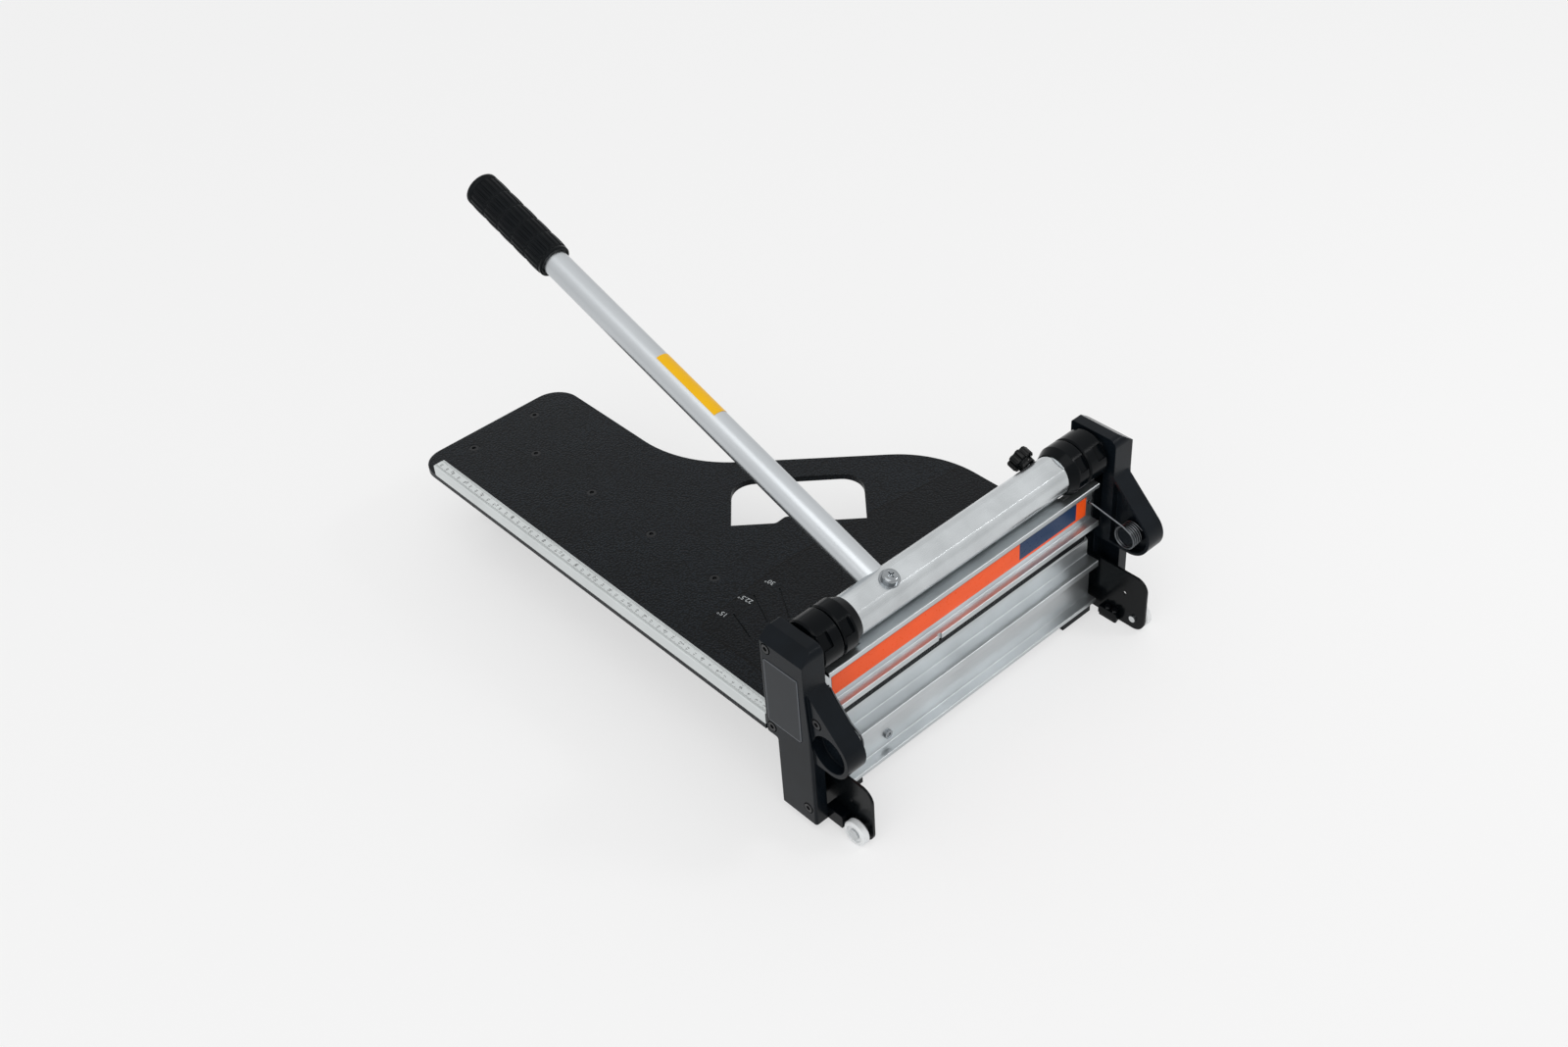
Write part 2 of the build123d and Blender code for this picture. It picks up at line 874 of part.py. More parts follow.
def housing(with_badge):
    """Side casting: body, leg, ear with its spring pocket, guide groove and journal bore."""
    body = prism_x(
        [
            (housing_back, plate_bottom, housing_rear_radius),
            (housing_back, housing_top, housing_small_radius),
            (housing_front, housing_top, housing_top_front_radius),
            (housing_front, leg_swell_high, housing_swell_radius),
            (leg_front, leg_swell_low, housing_swell_radius),
            (leg_front, 0, 0),
            (leg_back, 0, 0),
            (leg_back, plate_bottom, housing_small_radius),
        ],
        housing_inner,
        housing_outer,
    )
    body &= prism_z(
        [
            (housing_inner, leg_front, 0),
            (housing_outer, leg_front, housing_small_radius),
            (housing_outer, housing_back, housing_small_radius),
            (housing_inner, housing_back, 0),
        ],
        0,
        housing_top,
    )
    body -= prism_y(
        [
            (ridge_x, housing_top, 0),
            (housing_outer, housing_top - slope_drop, 0),
            (housing_outer + overrun, housing_top - slope_drop, 0),
            (housing_outer + overrun, housing_top + overrun, 0),
            (ridge_x, housing_top + overrun, 0),
        ],
        leg_front - overrun,
        housing_back + overrun,
    )
    body -= block(
        (housing_inner - overrun, leg_inner),
        (leg_front - overrun, leg_web_front),
        (-overrun, ear_z - ear_radius),
    )
    body += Pos(housing_inner, 0, 0) * extrude(
        ear_face(ear_radius), ear_outer - housing_inner, dir=(1, 0, 0)
    )
    body -= Pos(housing_inner, 0, 0) * extrude(
        ear_pocket_face(), ear_floor_x - housing_inner, dir=(1, 0, 0)
    )
    body -= rod_x(
        ear_y, ear_z, ear_recess_radius, ear_floor_x + ear_floor_thick, ear_outer + overrun
    )
    body += rod_x(ear_y, ear_z, mandrel_radius, mandrel_end, ear_floor_x)
    body -= block(
        (housing_inner - overrun, housing_inner + groove_depth),
        (-groove_half, groove_half),
        (groove_low, groove_high),
    )
    body -= rod_x(
        axis_y, axis_z, journal_radius + shaft_gap,
        housing_inner - overrun, housing_inner + journal_depth + running_gap,
    )
    if with_badge:
        body -= block(
            (housing_outer - badge_sink, housing_outer + overrun),
            (badge_front - screw_gap, badge_front + badge_width + screw_gap),
            (badge_low - screw_gap, badge_low + badge_height + screw_gap),
        )
    for y, z, face_x in housing_screw_places():
        body -= rod_x(y, z, pan_well_radius, face_x - pan_well_depth, face_x + overrun)
        body -= rod_x(y, z, screw_shank_radius + screw_gap, face_x - pan_shank_length, face_x)
    return body


def housing_screw_set():
    """Pan screws in the wells of one housing."""
    screws = []
    for y, z, face_x in housing_screw_places():
        seat = face_x - pan_well_depth
        head = rod_x(y, z, pan_radius, seat, seat + pan_height)
        head -= rod_x(y, z, recess_radius, seat + pan_height - recess_depth, seat + pan_height + overrun)
        screws.append(head + rod_x(y, z, screw_shank_radius, face_x - pan_shank_length + running_gap, seat))
    return screws


def badge():
    """Bare plate let into the left housing's outer face."""
    seat = housing_outer - badge_sink
    return mirrored(prism_x(
        [
            (badge_front, badge_low, badge_radius),
            (badge_front + badge_width, badge_low, badge_radius),
            (badge_front + badge_width, badge_low + badge_height, badge_radius),
            (badge_front, badge_low + badge_height, badge_radius),
        ],
        seat,
        seat + badge_thick,
    ))


# Rocker that lifts the blade
def rocker_bar():
    """Round bar with a flat along its top, sockets for the journals, the handle and its bolt."""
    bar = rod_x(bar_y, bar_z, bar_radius, -bar_half, bar_half)
    flat_x = collar_inner_x + handle_x
    flat = bolt_frame * Pos(-handle_x, 0, facet_height + overrun) * Box(
        2 * (flat_x - handle_x), 2 * facet_half_width + overrun, 2 * overrun
    )
    bar -= flat
    for side in (-1, 1):
        inner = side * (bar_half - journal_socket)
        outer = side * (bar_half + overrun)
        bar -= rod_x(axis_y, axis_z, journal_radius + shaft_gap, min(inner, outer), max(inner, outer))
    bar -= along(handle_frame, handle_radius + shaft_gap, handle_inner_end - shaft_gap, bar_radius + overrun)
    bar -= along(bolt_frame, bolt_radius + screw_gap, bolt_end - screw_gap, bar_radius + overrun)
    return bar - along(knob_frame, stud_radius + screw_gap, stud_root - screw_gap, bar_radius + overrun)


def journal_pins():
    """Pins off the bar's centre, which turn in the housings."""
    inner = bar_half - journal_socket
    outer = housing_inner + journal_depth
    right = rod_x(axis_y, axis_z, journal_radius, inner, outer)
    return Compound(children=[mirrored(right), right])


def collar(x_low, x_high, rim_radius, lead, closed):
    """Moulded collar on the bar: a cone at its inboard end and a flat-bottomed pocket in its front."""
    length = x_high - x_low
    ring = spun([
        (0, 0, 0),
        (rim_radius, 0, 0),
        (collar_radius, lead, 0),
        (collar_radius, length - collar_edge, 0),
        (collar_radius - collar_edge, length, 0),
        (0, length, 0),
    ])
    ring = Pos(x_low, bar_y, bar_z) * Rot(0, 90, 0) * ring
    bore_end = bar_half + collar_bore_gap if closed else x_high + overrun
    ring -= rod_x(bar_y, bar_z, bar_radius + collar_bore_gap, x_low - overrun, bore_end)
    if closed:
        ring -= rod_x(axis_y, axis_z, journal_radius + shaft_gap, x_low, x_high + overrun)
    pocket_x = (x_low + x_high) / 2 + pocket_shift
    pocket = Pos(pocket_x, 0, collar_radius) * Box(pocket_length, pocket_width, 2 * pocket_depth)
    return ring - Pos(0, bar_y, bar_z) * Rot(pocket_turn - 90, 0, 0) * pocket


def handle_tube():
    """Handle tube, drilled for its cross bolt."""
    tube = along(handle_frame, handle_radius, handle_inner_end, handle_outer_end)
    tube -= along(
        handle_frame, handle_radius - handle_wall, handle_inner_end - overrun, handle_outer_end + overrun
    )
    return tube - along(bolt_frame, bolt_radius + screw_gap, -2 * handle_radius, 2 * handle_radius)


def handle_grip():
    """Rubber grip with rows of ribs between a flange ring and a rounded cap."""
    bore = handle_radius + grip_wall
    core = spun([
        (bore, grip_start, 0),
        (grip_flange_radius, grip_start, collar_edge),
        (grip_flange_radius, grip_start + grip_flange_thick, 0),
        (grip_core_radius, grip_start + grip_flange_thick, 0),
        (grip_core_radius, grip_cap_start, 0),
        (grip_cap_radius, grip_cap_start, 0),
        (grip_cap_radius, grip_end, grip_round),
        (0, grip_end, 0),
        (0, handle_outer_end + grip_wall, 0),
        (bore, handle_outer_end + grip_wall, 0),
    ])
    first = grip_start + grip_flange_thick
    row_pitch = (grip_cap_start - first) / grip_rib_rows
    pitch_angle = 360 / grip_ribs_around
    rib_width = 2 * grip_radius * math.sin(math.radians(pitch_angle / 2)) - grip_groove
    rib_root = handle_radius + 2 * grip_wall
    rib = Pos((rib_root + grip_radius) / 2, 0, 0) * Box(
        grip_radius - rib_root, rib_width, row_pitch - grip_rib_gap
    )
    ribs = []
    for row in range(grip_rib_rows):
        place = Pos(0, 0, first + row_pitch * (row + 1 / 2))
        for step in range(grip_ribs_around):
            ribs.append(place * Rot(0, 0, pitch_angle * step) * rib)
    return handle_frame * (core + ribs)


def handle_label():
    """Plain label wrapped over the tube's upper side."""
    inner = handle_radius + label_glue
    ring = Cylinder(inner + label_thick, label_length) - Cylinder(inner, label_length)
    reach = 2 * handle_radius
    half = math.radians(label_sweep / 2)
    wedge = extrude(
        outline([
            (0, 0, 0),
            (reach * math.sin(half), -reach * math.cos(half), 0),
            (reach, -reach, 0),
            (-reach, -reach, 0),
            (-reach * math.sin(half), -reach * math.cos(half), 0),
        ]),
        label_length,
    )
    cut = ring & (Pos(0, 0, -label_length / 2) * wedge)
    return handle_frame * Pos(0, 0, label_start + label_length / 2) * cut


def handle_bolt():
    """Pan bolt with a cross recess, through the bar and the handle."""
    seat = facet_height + bolt_washer_thick
    bolt = spun([
        (0, bolt_end, 0),
        (bolt_radius, bolt_end, 0),
        (bolt_radius, seat, 0),
        (bolt_head_radius, seat, 0),
        (bolt_head_radius, seat + bolt_head_height, bolt_head_round),
        (0, seat + bolt_head_height, 0),
    ])
    for turn in (0, 90):
        slot = Box(2 * bolt_cross_radius, bolt_cross_width, 2 * bolt_cross_depth)
        bolt -= Pos(0, 0, seat + bolt_head_height) * Rot(0, 0, turn) * slot
    return bolt_frame * bolt


def handle_washer():
    """Washer under the bolt's head."""
    ring = Cylinder(bolt_washer_radius, bolt_washer_thick) - Cylinder(
        bolt_radius + screw_gap, bolt_washer_thick
    )
    return bolt_frame * Pos(0, 0, facet_height + bolt_washer_thick / 2) * ring


def knob_stud():
    """Stud that the star knob turns on."""
    return along(knob_frame, stud_radius, stud_root, knob_start + knob_bore_depth)


def star_knob():
    """Star knob with flutes round its rim and a hub towards the bar."""
    body = Cylinder(knob_radius, knob_thick)
    body = chamfer(body.edges().filter_by(GeomType.CIRCLE), knob_edge)
    for step in range(knob_lobes):
        flute = Pos(knob_radius + knob_flute_offset, 0, 0) * Cylinder(knob_flute_radius, knob_thick + overrun)
        body -= Rot(0, 0, 360 / knob_lobes * step) * flute
    hub = Cylinder(knob_hub_radius, knob_hub_length)
    body += Pos(0, 0, -(knob_thick + knob_hub_length) / 2) * hub
    body = Pos(0, 0, knob_start + knob_hub_length + knob_thick / 2) * body
    bore_high = knob_start + knob_bore_depth + running_gap
    bore = Pos(0, 0, (knob_start - overrun + bore_high) / 2) * Cylinder(
        stud_radius + shaft_gap, bore_high - knob_start + overrun
    )
    return knob_frame * (body - bore)


# Blade carriage
def carriage_extrusion():
    """Profile that carries the blade, relieved under the collars at both ends."""
    profile = prism_x(
        [
            (carriage_top_front, carriage_top - carriage_top_wall, 0),
            (carriage_top_front, carriage_top, profile_fillet),
            (carriage_back, carriage_top, profile_fillet),
            (carriage_back, carriage_top - carriage_lip_drop, profile_fillet),
            (carriage_back - carriage_web_thick, carriage_top - carriage_lip_drop, profile_fillet),
            (carriage_back - carriage_web_thick, carriage_top - carriage_top_wall, profile_fillet),
            (carriage_web_back, carriage_top - carriage_top_wall, profile_fillet),
            (carriage_web_back, carriage_low, 0),
            (carriage_flange_front, carriage_low, profile_fillet),
            (carriage_flange_front, carriage_flange_high, profile_fillet),
            (carriage_web_front, carriage_flange_high, profile_fillet),
            (carriage_web_front, carriage_top - carriage_top_wall, profile_fillet),
        ],
        -profile_half,
        profile_half,
    )
    for side in (-1, 1):
        start = side * (collar_inner_x - seat_length_gap)
        end = side * (profile_half + overrun)
        profile -= rod_x(seat_y, bar_z, seat_radius, min(start, end), max(start, end))
        profile -= rod_y(
            side * hook_x, hook_height, hook_hole_radius,
            carriage_web_front - overrun, carriage_web_back + overrun,
        )
    for x in blade_screw_places():
        profile -= rod_y(
            x, blade_screw_z, blade_shank_radius + screw_gap,
            carriage_web_front + carriage_label_thick, blade_back,
        )
    return profile - block(
        (notch_x - notch_width / 2, notch_x + notch_width / 2),
        (carriage_flange_front - overrun, carriage_flange_front + notch_depth),
        (carriage_low - overrun, carriage_flange_high + overrun),
    )


def blade_screw_places():
    """Where the blade's screws stand along X."""
    return [blade_screw_pitch * (i - (blade_screw_count - 1) / 2) for i in range(blade_screw_count)]


def blade():
    """Guillotine blade with a bevel on its back."""
    half = blade_length / 2
    plate = prism_x(
        [
            (carriage_web_back, blade_edge_z, 0),
            (carriage_web_back, blade_high, 0),
            (blade_back, blade_high, 0),
            (blade_back, blade_edge_z + blade_bevel, 0),
            (carriage_web_back + blade_land, blade_edge_z, 0),
        ],
        -half,
        half,
    )
    for x in blade_screw_places():
        plate -= rod_y(
            x, blade_screw_z, blade_shank_radius + screw_gap,
            carriage_web_back - overrun, blade_back + overrun,
        )
    return plate


def blade_screws():
    """Pan screws behind the blade."""
    screws = []
    for x in blade_screw_places():
        head = rod_y(x, blade_screw_z, blade_screw_radius, blade_back, blade_back + blade_screw_height)
        head -= rod_y(
            x, blade_screw_z, recess_radius,
            blade_back + blade_screw_height - recess_depth, blade_back + blade_screw_height + overrun,
        )
        shank_front = carriage_web_front + 2 * carriage_label_thick
        screws.append(head + rod_y(x, blade_screw_z, blade_shank_radius, shank_front, blade_back))
    return Compound(children=screws)


def guide_block():
    """Sliding block at the carriage's end, with a tongue behind the blade."""
    slider = prism_z(
        [
            (profile_half, -guide_half, 0),
            (guide_outer, -guide_half, guide_edge),
            (guide_outer, guide_half, guide_edge),
            (profile_half, guide_half, 0),
        ],
        guide_low,
        guide_high,
    )
    tongue = block(
        (profile_half - guide_tongue_length, profile_half),
        (blade_back + running_gap, guide_tongue_back),
        (carriage_flange_high, guide_high),
    )
    return slider + tongue


def carriage_label():
    """Plain label on the carriage's web."""
    return block(
        (-label_half_length, label_half_length),
        (carriage_web_front - carriage_label_thick, carriage_web_front),
        (carriage_label_low, carriage_label_high),
    )


# Torsion springs that lift the carriage
def coil_point(turn):
    """Point of the coil's centre line after so many turns from the short leg."""
    angle = math.radians(leg_angle) + 2 * math.pi * (coil_turns - turn)
    x = coil_start_x - coil_pitch * turn
    return Vector(x, ear_y + coil_radius * math.cos(angle), ear_z + coil_radius * math.sin(angle))


def coil_heading(turn):
    """Unit direction of the coil's centre line at that turn."""
    angle = math.radians(leg_angle) + 2 * math.pi * (coil_turns - turn)
    rise = coil_pitch / (2 * math.pi)
    return Vector(-rise, coil_radius * math.sin(angle), -coil_radius * math.cos(angle)).normalized()


leg_slope = -math.cos(math.radians(leg_angle)) / math.sin(math.radians(leg_angle))
hook_height = coil_point(coil_turns).Z + (hook_y - coil_point(coil_turns).Y) * leg_slope


def biarc(start, start_heading, end, end_heading):
    """Two arcs that leave the start along its heading and reach the end along its own."""
    chord = end - start
    both = start_heading + end_heading
    square = both.dot(both) - 2**2
    linear = -2 * chord.dot(both)
    reach = (-linear - math.sqrt(linear**2 - 4 * square * chord.dot(chord))) / (2 * square)
    first = start + start_heading * reach
    second = end - end_heading * reach
    meeting = (first + second) * (1 / 2)
    return [
        TangentArc(start, meeting, tangent=start_heading),
        TangentArc(meeting, end, tangent=(second - first).normalized()),
    ]


def spring():
    """Torsion spring on the ear's mandrel, hooked into the carriage's web."""
    quarters = 4 * coil_turns
    edges = []
    start = coil_point(0)
    edges.append(Line(start - coil_heading(0) * short_leg, start))
    for i in range(quarters):
        low, high = i / 4, (i + 1) / 4
        edges += biarc(coil_point(low), coil_heading(low), coil_point(high), coil_heading(high))
    leave = coil_point(coil_turns)
    lead = leave + coil_heading(coil_turns) * leg_lead
    hook = Vector(hook_x, hook_y, hook_height)
    tip = Vector(hook_x, hook_end_y, hook_height)
    leg = FilletPolyline(leave, lead, hook, tip, radius=hook_bend)
    path = Wire(edges + list(leg.edges()))
    section = Plane(origin=path @ 0, z_dir=path % 0) * Circle(wire_radius)
    return sweep(section, path=path)


def coil_self_gap():
    """Least gap between neighbouring turns, measured on points of the coil."""
    steps = 48
    count = steps * coil_turns
    points = [coil_point(i / steps) for i in range(count + 1)]
    least = min(
        (points[i] - points[j]).length
        for i in range(count + 1)
        for j in range(i + steps // 2, count + 1)
    )
    return least - 2 * wire_radius


def paired(pieces):
    """One group from the right-hand pieces and their mirrored copies."""
    return Compound(children=[mirrored(piece) for piece in pieces] + list(pieces))


right_housing_screws = housing_screw_set()
right_foot_blocks = foot_block_pair()
right_bracket_screws = bracket_screw_set()
right_end_plate = end_plate()
right_bracket = roller_bracket()
right_roller = roller()
right_guide = guide_block()
right_spring = spring()
inner_collar = collar(
    collar_inner_x, collar_split_x - collar_split_gap / 2,
    bar_radius + collar_lead_rim, collar_lead_length, False,
)
outer_collar = collar(
    collar_split_x + collar_split_gap / 2, collar_outer_x,
    collar_radius - collar_edge, collar_edge, True,
)

nodes = {
    "base_plate": base_plate(),
    "ruler_fence": ruler_fence(),
    "anvil_strip": anvil_strip(),
    "plate_screws": plate_screws(),
    "support_rail": support_rail(),
    "far_foot": far_foot(),
    "far_foot_pads": far_foot_pads(),
    "bed_extrusion": bed_extrusion(),
    "bed_screw": bed_screw(),
    "bed_pads": bed_pads(),
    "left_end_plate": mirrored(right_end_plate),
    "right_end_plate": right_end_plate,
    "left_housing": mirrored(housing(True)),
    "right_housing": housing(False),
    "left_badge": badge(),
    "housing_screws": paired(right_housing_screws),
    "left_spring": mirrored(right_spring),
    "right_spring": right_spring,
    "left_roller_bracket": mirrored(right_bracket),
    "right_roller_bracket": right_bracket,
    "foot_blocks": paired(right_foot_blocks),
    "bracket_screws": paired(right_bracket_screws),
    "roller_axles": paired([roller_axle()]),
    "left_roller": mirrored(right_roller),
    "right_roller": right_roller,
    "carriage_extrusion": carriage_extrusion(),
    "carriage_label": carriage_label(),
    "blade": blade(),
    "blade_screws": blade_screws(),
    "left_guide_block": mirrored(right_guide),
    "right_guide_block": right_guide,
    "rocker_bar": rocker_bar(),
    "journal_pins": journal_pins(),
    "left_inner_collar": mirrored(inner_collar),
    "left_outer_collar": mirrored(outer_collar),
    "right_inner_collar": inner_collar,
    "right_outer_collar": outer_collar,
    "handle_tube": handle_tube(),
    "handle_grip": handle_grip(),
    "handle_label": handle_label(),
    "handle_bolt": handle_bolt(),
    "handle_washer": handle_washer(),
    "knob_stud": knob_stud(),
    "star_knob": star_knob(),
}

os.makedirs("parts", exist_ok=True)
for name, shape in nodes.items():
    export_step(Pos(0, -centre_y, sole_height) * shape, f"parts/{name}.step")

print(f"footprint centre lies {centre_y:.3f} from the head's middle")
print(f"rocker axis at y {axis_y - centre_y:.3f}, z {axis_z + sole_height:.3f}; lift {lift_height:.3f}")
print(f"least gap between the spring's turns {coil_self_gap():.3f}")
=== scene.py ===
"""Looks of a bench cutter for laminate planks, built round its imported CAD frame.

Lengths are metres in the row's frame: X across the head, Y from the head to the far end of the
base plate, Z up from the floor. Sizes named with _mm are millimetres.
"""
import logging
import math
from dataclasses import dataclass, field, replace
from enum import Enum

import bmesh
import bpy
import numpy as np
from bpy.types import ID, Material, Node, NodeSocket, NodeTree, Object
from mathutils import Matrix, Vector


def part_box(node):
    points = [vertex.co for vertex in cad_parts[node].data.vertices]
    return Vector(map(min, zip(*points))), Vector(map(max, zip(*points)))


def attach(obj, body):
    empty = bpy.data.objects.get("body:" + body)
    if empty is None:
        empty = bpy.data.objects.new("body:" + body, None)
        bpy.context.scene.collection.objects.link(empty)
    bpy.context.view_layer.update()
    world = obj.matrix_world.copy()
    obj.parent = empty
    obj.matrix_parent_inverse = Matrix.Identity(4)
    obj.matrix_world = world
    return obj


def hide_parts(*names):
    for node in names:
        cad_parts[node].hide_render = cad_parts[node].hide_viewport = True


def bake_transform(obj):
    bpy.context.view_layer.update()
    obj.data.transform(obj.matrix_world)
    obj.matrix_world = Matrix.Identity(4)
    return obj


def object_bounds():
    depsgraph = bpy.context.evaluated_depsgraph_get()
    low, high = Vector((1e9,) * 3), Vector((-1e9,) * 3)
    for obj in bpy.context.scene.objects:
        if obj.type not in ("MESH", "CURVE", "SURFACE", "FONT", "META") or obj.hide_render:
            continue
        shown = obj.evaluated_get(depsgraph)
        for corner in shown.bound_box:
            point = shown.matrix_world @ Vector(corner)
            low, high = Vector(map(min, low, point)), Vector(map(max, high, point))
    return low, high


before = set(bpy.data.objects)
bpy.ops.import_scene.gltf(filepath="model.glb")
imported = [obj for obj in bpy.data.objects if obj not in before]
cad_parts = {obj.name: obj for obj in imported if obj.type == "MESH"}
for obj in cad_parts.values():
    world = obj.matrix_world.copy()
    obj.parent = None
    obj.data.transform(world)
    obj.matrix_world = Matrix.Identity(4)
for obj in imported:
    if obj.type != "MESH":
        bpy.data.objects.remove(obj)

log = logging.getLogger("cutter")
MM = 0.001
CAD_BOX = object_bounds()
SIDEWAYS = np.array([1.0, 0.0, 0.0])
# From the head's middle to the housings' far side
HOUSING_REACH = 0.0258

# Shared by all finishes: the part of the noise's range that the colour follows, octaves of fine
# and of broad noise, samples of the rounded edges, least roughness, and how deep light soaks in
NOISE_SPAN = (0.3, 0.7)
GRAIN_DETAIL = 3.0
CLOUD_DETAIL = 2.0
EDGE_SAMPLES = 4
LEAST_ROUGHNESS = 0.03
SOAK_DEPTH = 0.002


def linear(colour: str) -> tuple[float, float, float, float]:
    """Turn an sRGB hex colour into linear red, green, blue and alpha.

    Args:
        colour: six hex digits after a hash sign.

    Returns:
        The four linear components, alpha being 1.
    """
    parts = [int(colour[i:i + 2], 16) / 255 for i in (1, 3, 5)]
    red, green, blue = [p / 12.92 if p <= 0.04045 else ((p + 0.055) / 1.055) ** 2.4 for p in parts]
    return red, green, blue, 1.0


def add_node(tree: NodeTree, kind: str, settings: dict | None = None,
             links: dict | None = None) -> Node:
    """Add a node with its settings and links.

    Args:
        tree: the node tree to add to.
        kind: the node's type name after its "ShaderNode".
        settings: values by property name, input name or input number.
        links: output sockets by the input name or number that they feed.

    Returns:
        The new node.
    """
    node = tree.nodes.new("ShaderNode" + kind)
    for key, value in (settings or {}).items():
        if isinstance(key, str) and hasattr(node, key):
            setattr(node, key, value)
        else:
            node.inputs[key].default_value = value
    for key, socket in (links or {}).items():
        tree.links.new(socket, node.inputs[key])
    return node


def calc(tree: NodeTree, operation: str, first: NodeSocket | float,
         second: NodeSocket | float = 0.0) -> NodeSocket:
    """Add one step of arithmetic.

    Args:
        tree: the node tree to add to.
        operation: what is done with the values.
        first: a socket or a number.
        second: a socket or a number, for an operation on two values.

    Returns:
        The result's socket.
    """
    node = add_node(tree, "Math", {"operation": operation})
    for entry, source in zip(node.inputs, (first, second)):
        if isinstance(source, NodeSocket):
            tree.links.new(source, entry)
        else:
            entry.default_value = source
    return node.outputs["Value"]


def remap(tree: NodeTree, value: NodeSocket, given: tuple[float, float],
          wanted: tuple[float, float]) -> NodeSocket:
    """Carry a value from one range over to another, held at both ends.

    Args:
        tree: the node tree to add to.
        value: the value's socket.
        given: the range that the value runs over.
        wanted: the range that it is carried to.

    Returns:
        The new value's socket.
    """
    ends = {"From Min": given[0], "From Max": given[1], "To Min": wanted[0], "To Max": wanted[1]}
    return add_node(tree, "MapRange", ends, {"Value": value}).outputs["Result"]


def own_place(tree: NodeTree) -> NodeSocket:
    """The shaded point in its object's own coordinates."""
    return add_node(tree, "TexCoord").outputs["Object"]


def paint_over(tree: NodeTree, share: NodeSocket, base: NodeSocket, colour: str) -> NodeSocket:
    """Lay a colour over another where a share is one.

    Args:
        tree: the node tree to add to.
        share: the share's socket.
        base: the colour below.
        colour: the colour on top, as hex digits.

    Returns:
        The mixed colour's socket.
    """
    # Numbers of the node's colour sockets, which share their names with other kinds
    first_colour, second_colour, mixed_colour = 6, 7, 2
    mixed = add_node(tree, "Mix", {"data_type": "RGBA", second_colour: linear(colour)},
                     {"Factor": share, first_colour: base})
    return mixed.outputs[mixed_colour]


def stand(name: str, data: ID) -> Object:
    """Put a mesh, a text, a lamp or a camera into the scene as an object."""
    holder = bpy.data.objects.new(name, data)
    bpy.context.scene.collection.objects.link(holder)
    return holder


def middle_x(node: str) -> float:
    """Middle of a CAD node's box along X."""
    low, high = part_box(node)
    return (low.x + high.x) / 2


class Along(Enum):
    """The direction that a surface's tool marks run in, as shares of the pattern's scale."""

    NONE = (1.0, 1.0, 1.0)
    X = (0.02, 1.0, 1.0)
    Y = (1.0, 0.02, 1.0)
    Z = (1.0, 1.0, 0.02)


@dataclass(frozen=True)
class Finish:
    """A surface with a colour that varies a little, a sheen and a fine relief.

    The relief is noise of a real grain size, drawn out along the tool marks. A broader noise
    shifts the colour and the roughness, as handling and uneven coating do.
    """

    name: str
    colour: str
    roughness: float
    metallic: float = 0.0
    grain_mm: float = 0.8
    relief_mm: float = 0.02
    strength: float = 0.5
    marks: Along = Along.NONE
    mottle: float = 0.12
    mottle_mm: float = 25.0
    roughness_swing: float = 0.08
    rounding_mm: float = 0.5
    specular: float = 0.5
    translucency: float = 0.0

    def grain_scale(self) -> tuple[float, float, float]:
        """Scale of the relief's noise, from the grain's size and the tool marks."""
        base = 1 / (self.grain_mm * MM)
        return tuple(base * share for share in self.marks.value)

    def pattern(self, tree: NodeTree, scale: tuple[float, float, float],
                detail: float) -> NodeSocket:
        """Noise on the object's own coordinates.

        Args:
            tree: the material's node tree.
            scale: cycles a metre along each axis.
            detail: octaves of the noise.

        Returns:
            The noise's value socket.
        """
        scaled = add_node(tree, "VectorMath", {"operation": "MULTIPLY", 1: scale},
                          {0: own_place(tree)})
        noise = add_node(tree, "TexNoise", {"Scale": 1.0, "Detail": detail},
                         {"Vector": scaled.outputs["Vector"]})
        return noise.outputs["Fac"]

    def tone(self, tree: NodeTree, broad: NodeSocket) -> NodeSocket:
        """Colour socket: the finish's colour, darker and lighter with the broad noise.

        Args:
            tree: the material's node tree.
            broad: the broad noise's value.

        Returns:
            The colour socket.
        """
        red, green, blue, alpha = linear(self.colour)
        ramp = add_node(tree, "ValToRGB", {}, {"Fac": broad})
        stops = zip(ramp.color_ramp.elements, NOISE_SPAN, (1 - self.mottle, 1 + self.mottle))
        for stop, position, share in stops:
            stop.position = position
            stop.color = (red * share, green * share, blue * share, alpha)
        return ramp.outputs["Color"]

    def relief(self, tree: NodeTree) -> NodeSocket:
        """Normal socket: rounded edges, then the grain as a bump."""
        edge = add_node(tree, "Bevel", {"samples": EDGE_SAMPLES, "Radius": self.rounding_mm * MM})
        grain = self.pattern(tree, self.grain_scale(), GRAIN_DETAIL)
        bump = add_node(tree, "Bump",
                        {"Strength": self.strength, "Distance": self.relief_mm * MM},
                        {"Height": grain, "Normal": edge.outputs["Normal"]})
        return bump.outputs["Normal"]

    def build(self) -> Material:
        """Make the material.

        Returns:
            The new node material.
        """
        material = bpy.data.materials.new(self.name)
        material.use_nodes = True
        tree = material.node_tree
        tree.nodes.clear()
        broad = self.pattern(tree, (1 / (self.mottle_mm * MM),) * 3, CLOUD_DETAIL)
        sheen = remap(tree, self.pattern(tree, self.grain_scale(), CLOUD_DETAIL), (0.0, 1.0),
                      (max(self.roughness - self.roughness_swing, LEAST_ROUGHNESS),
                       min(self.roughness + self.roughness_swing, 1.0)))
        shader = add_node(tree, "BsdfPrincipled",
                          {"Metallic": self.metallic, "Specular IOR Level": self.specular,
                           "Subsurface Weight": self.translucency, "Subsurface Scale": SOAK_DEPTH,
                           "Subsurface Radius": (1.0, 1.0, 1.0)},
                          {"Base Color": self.tone(tree, broad), "Normal": self.relief(tree),
                           "Roughness": sheen})
        add_node(tree, "OutputMaterial", {}, {"Surface": shader.outputs["BSDF"]})
        return material


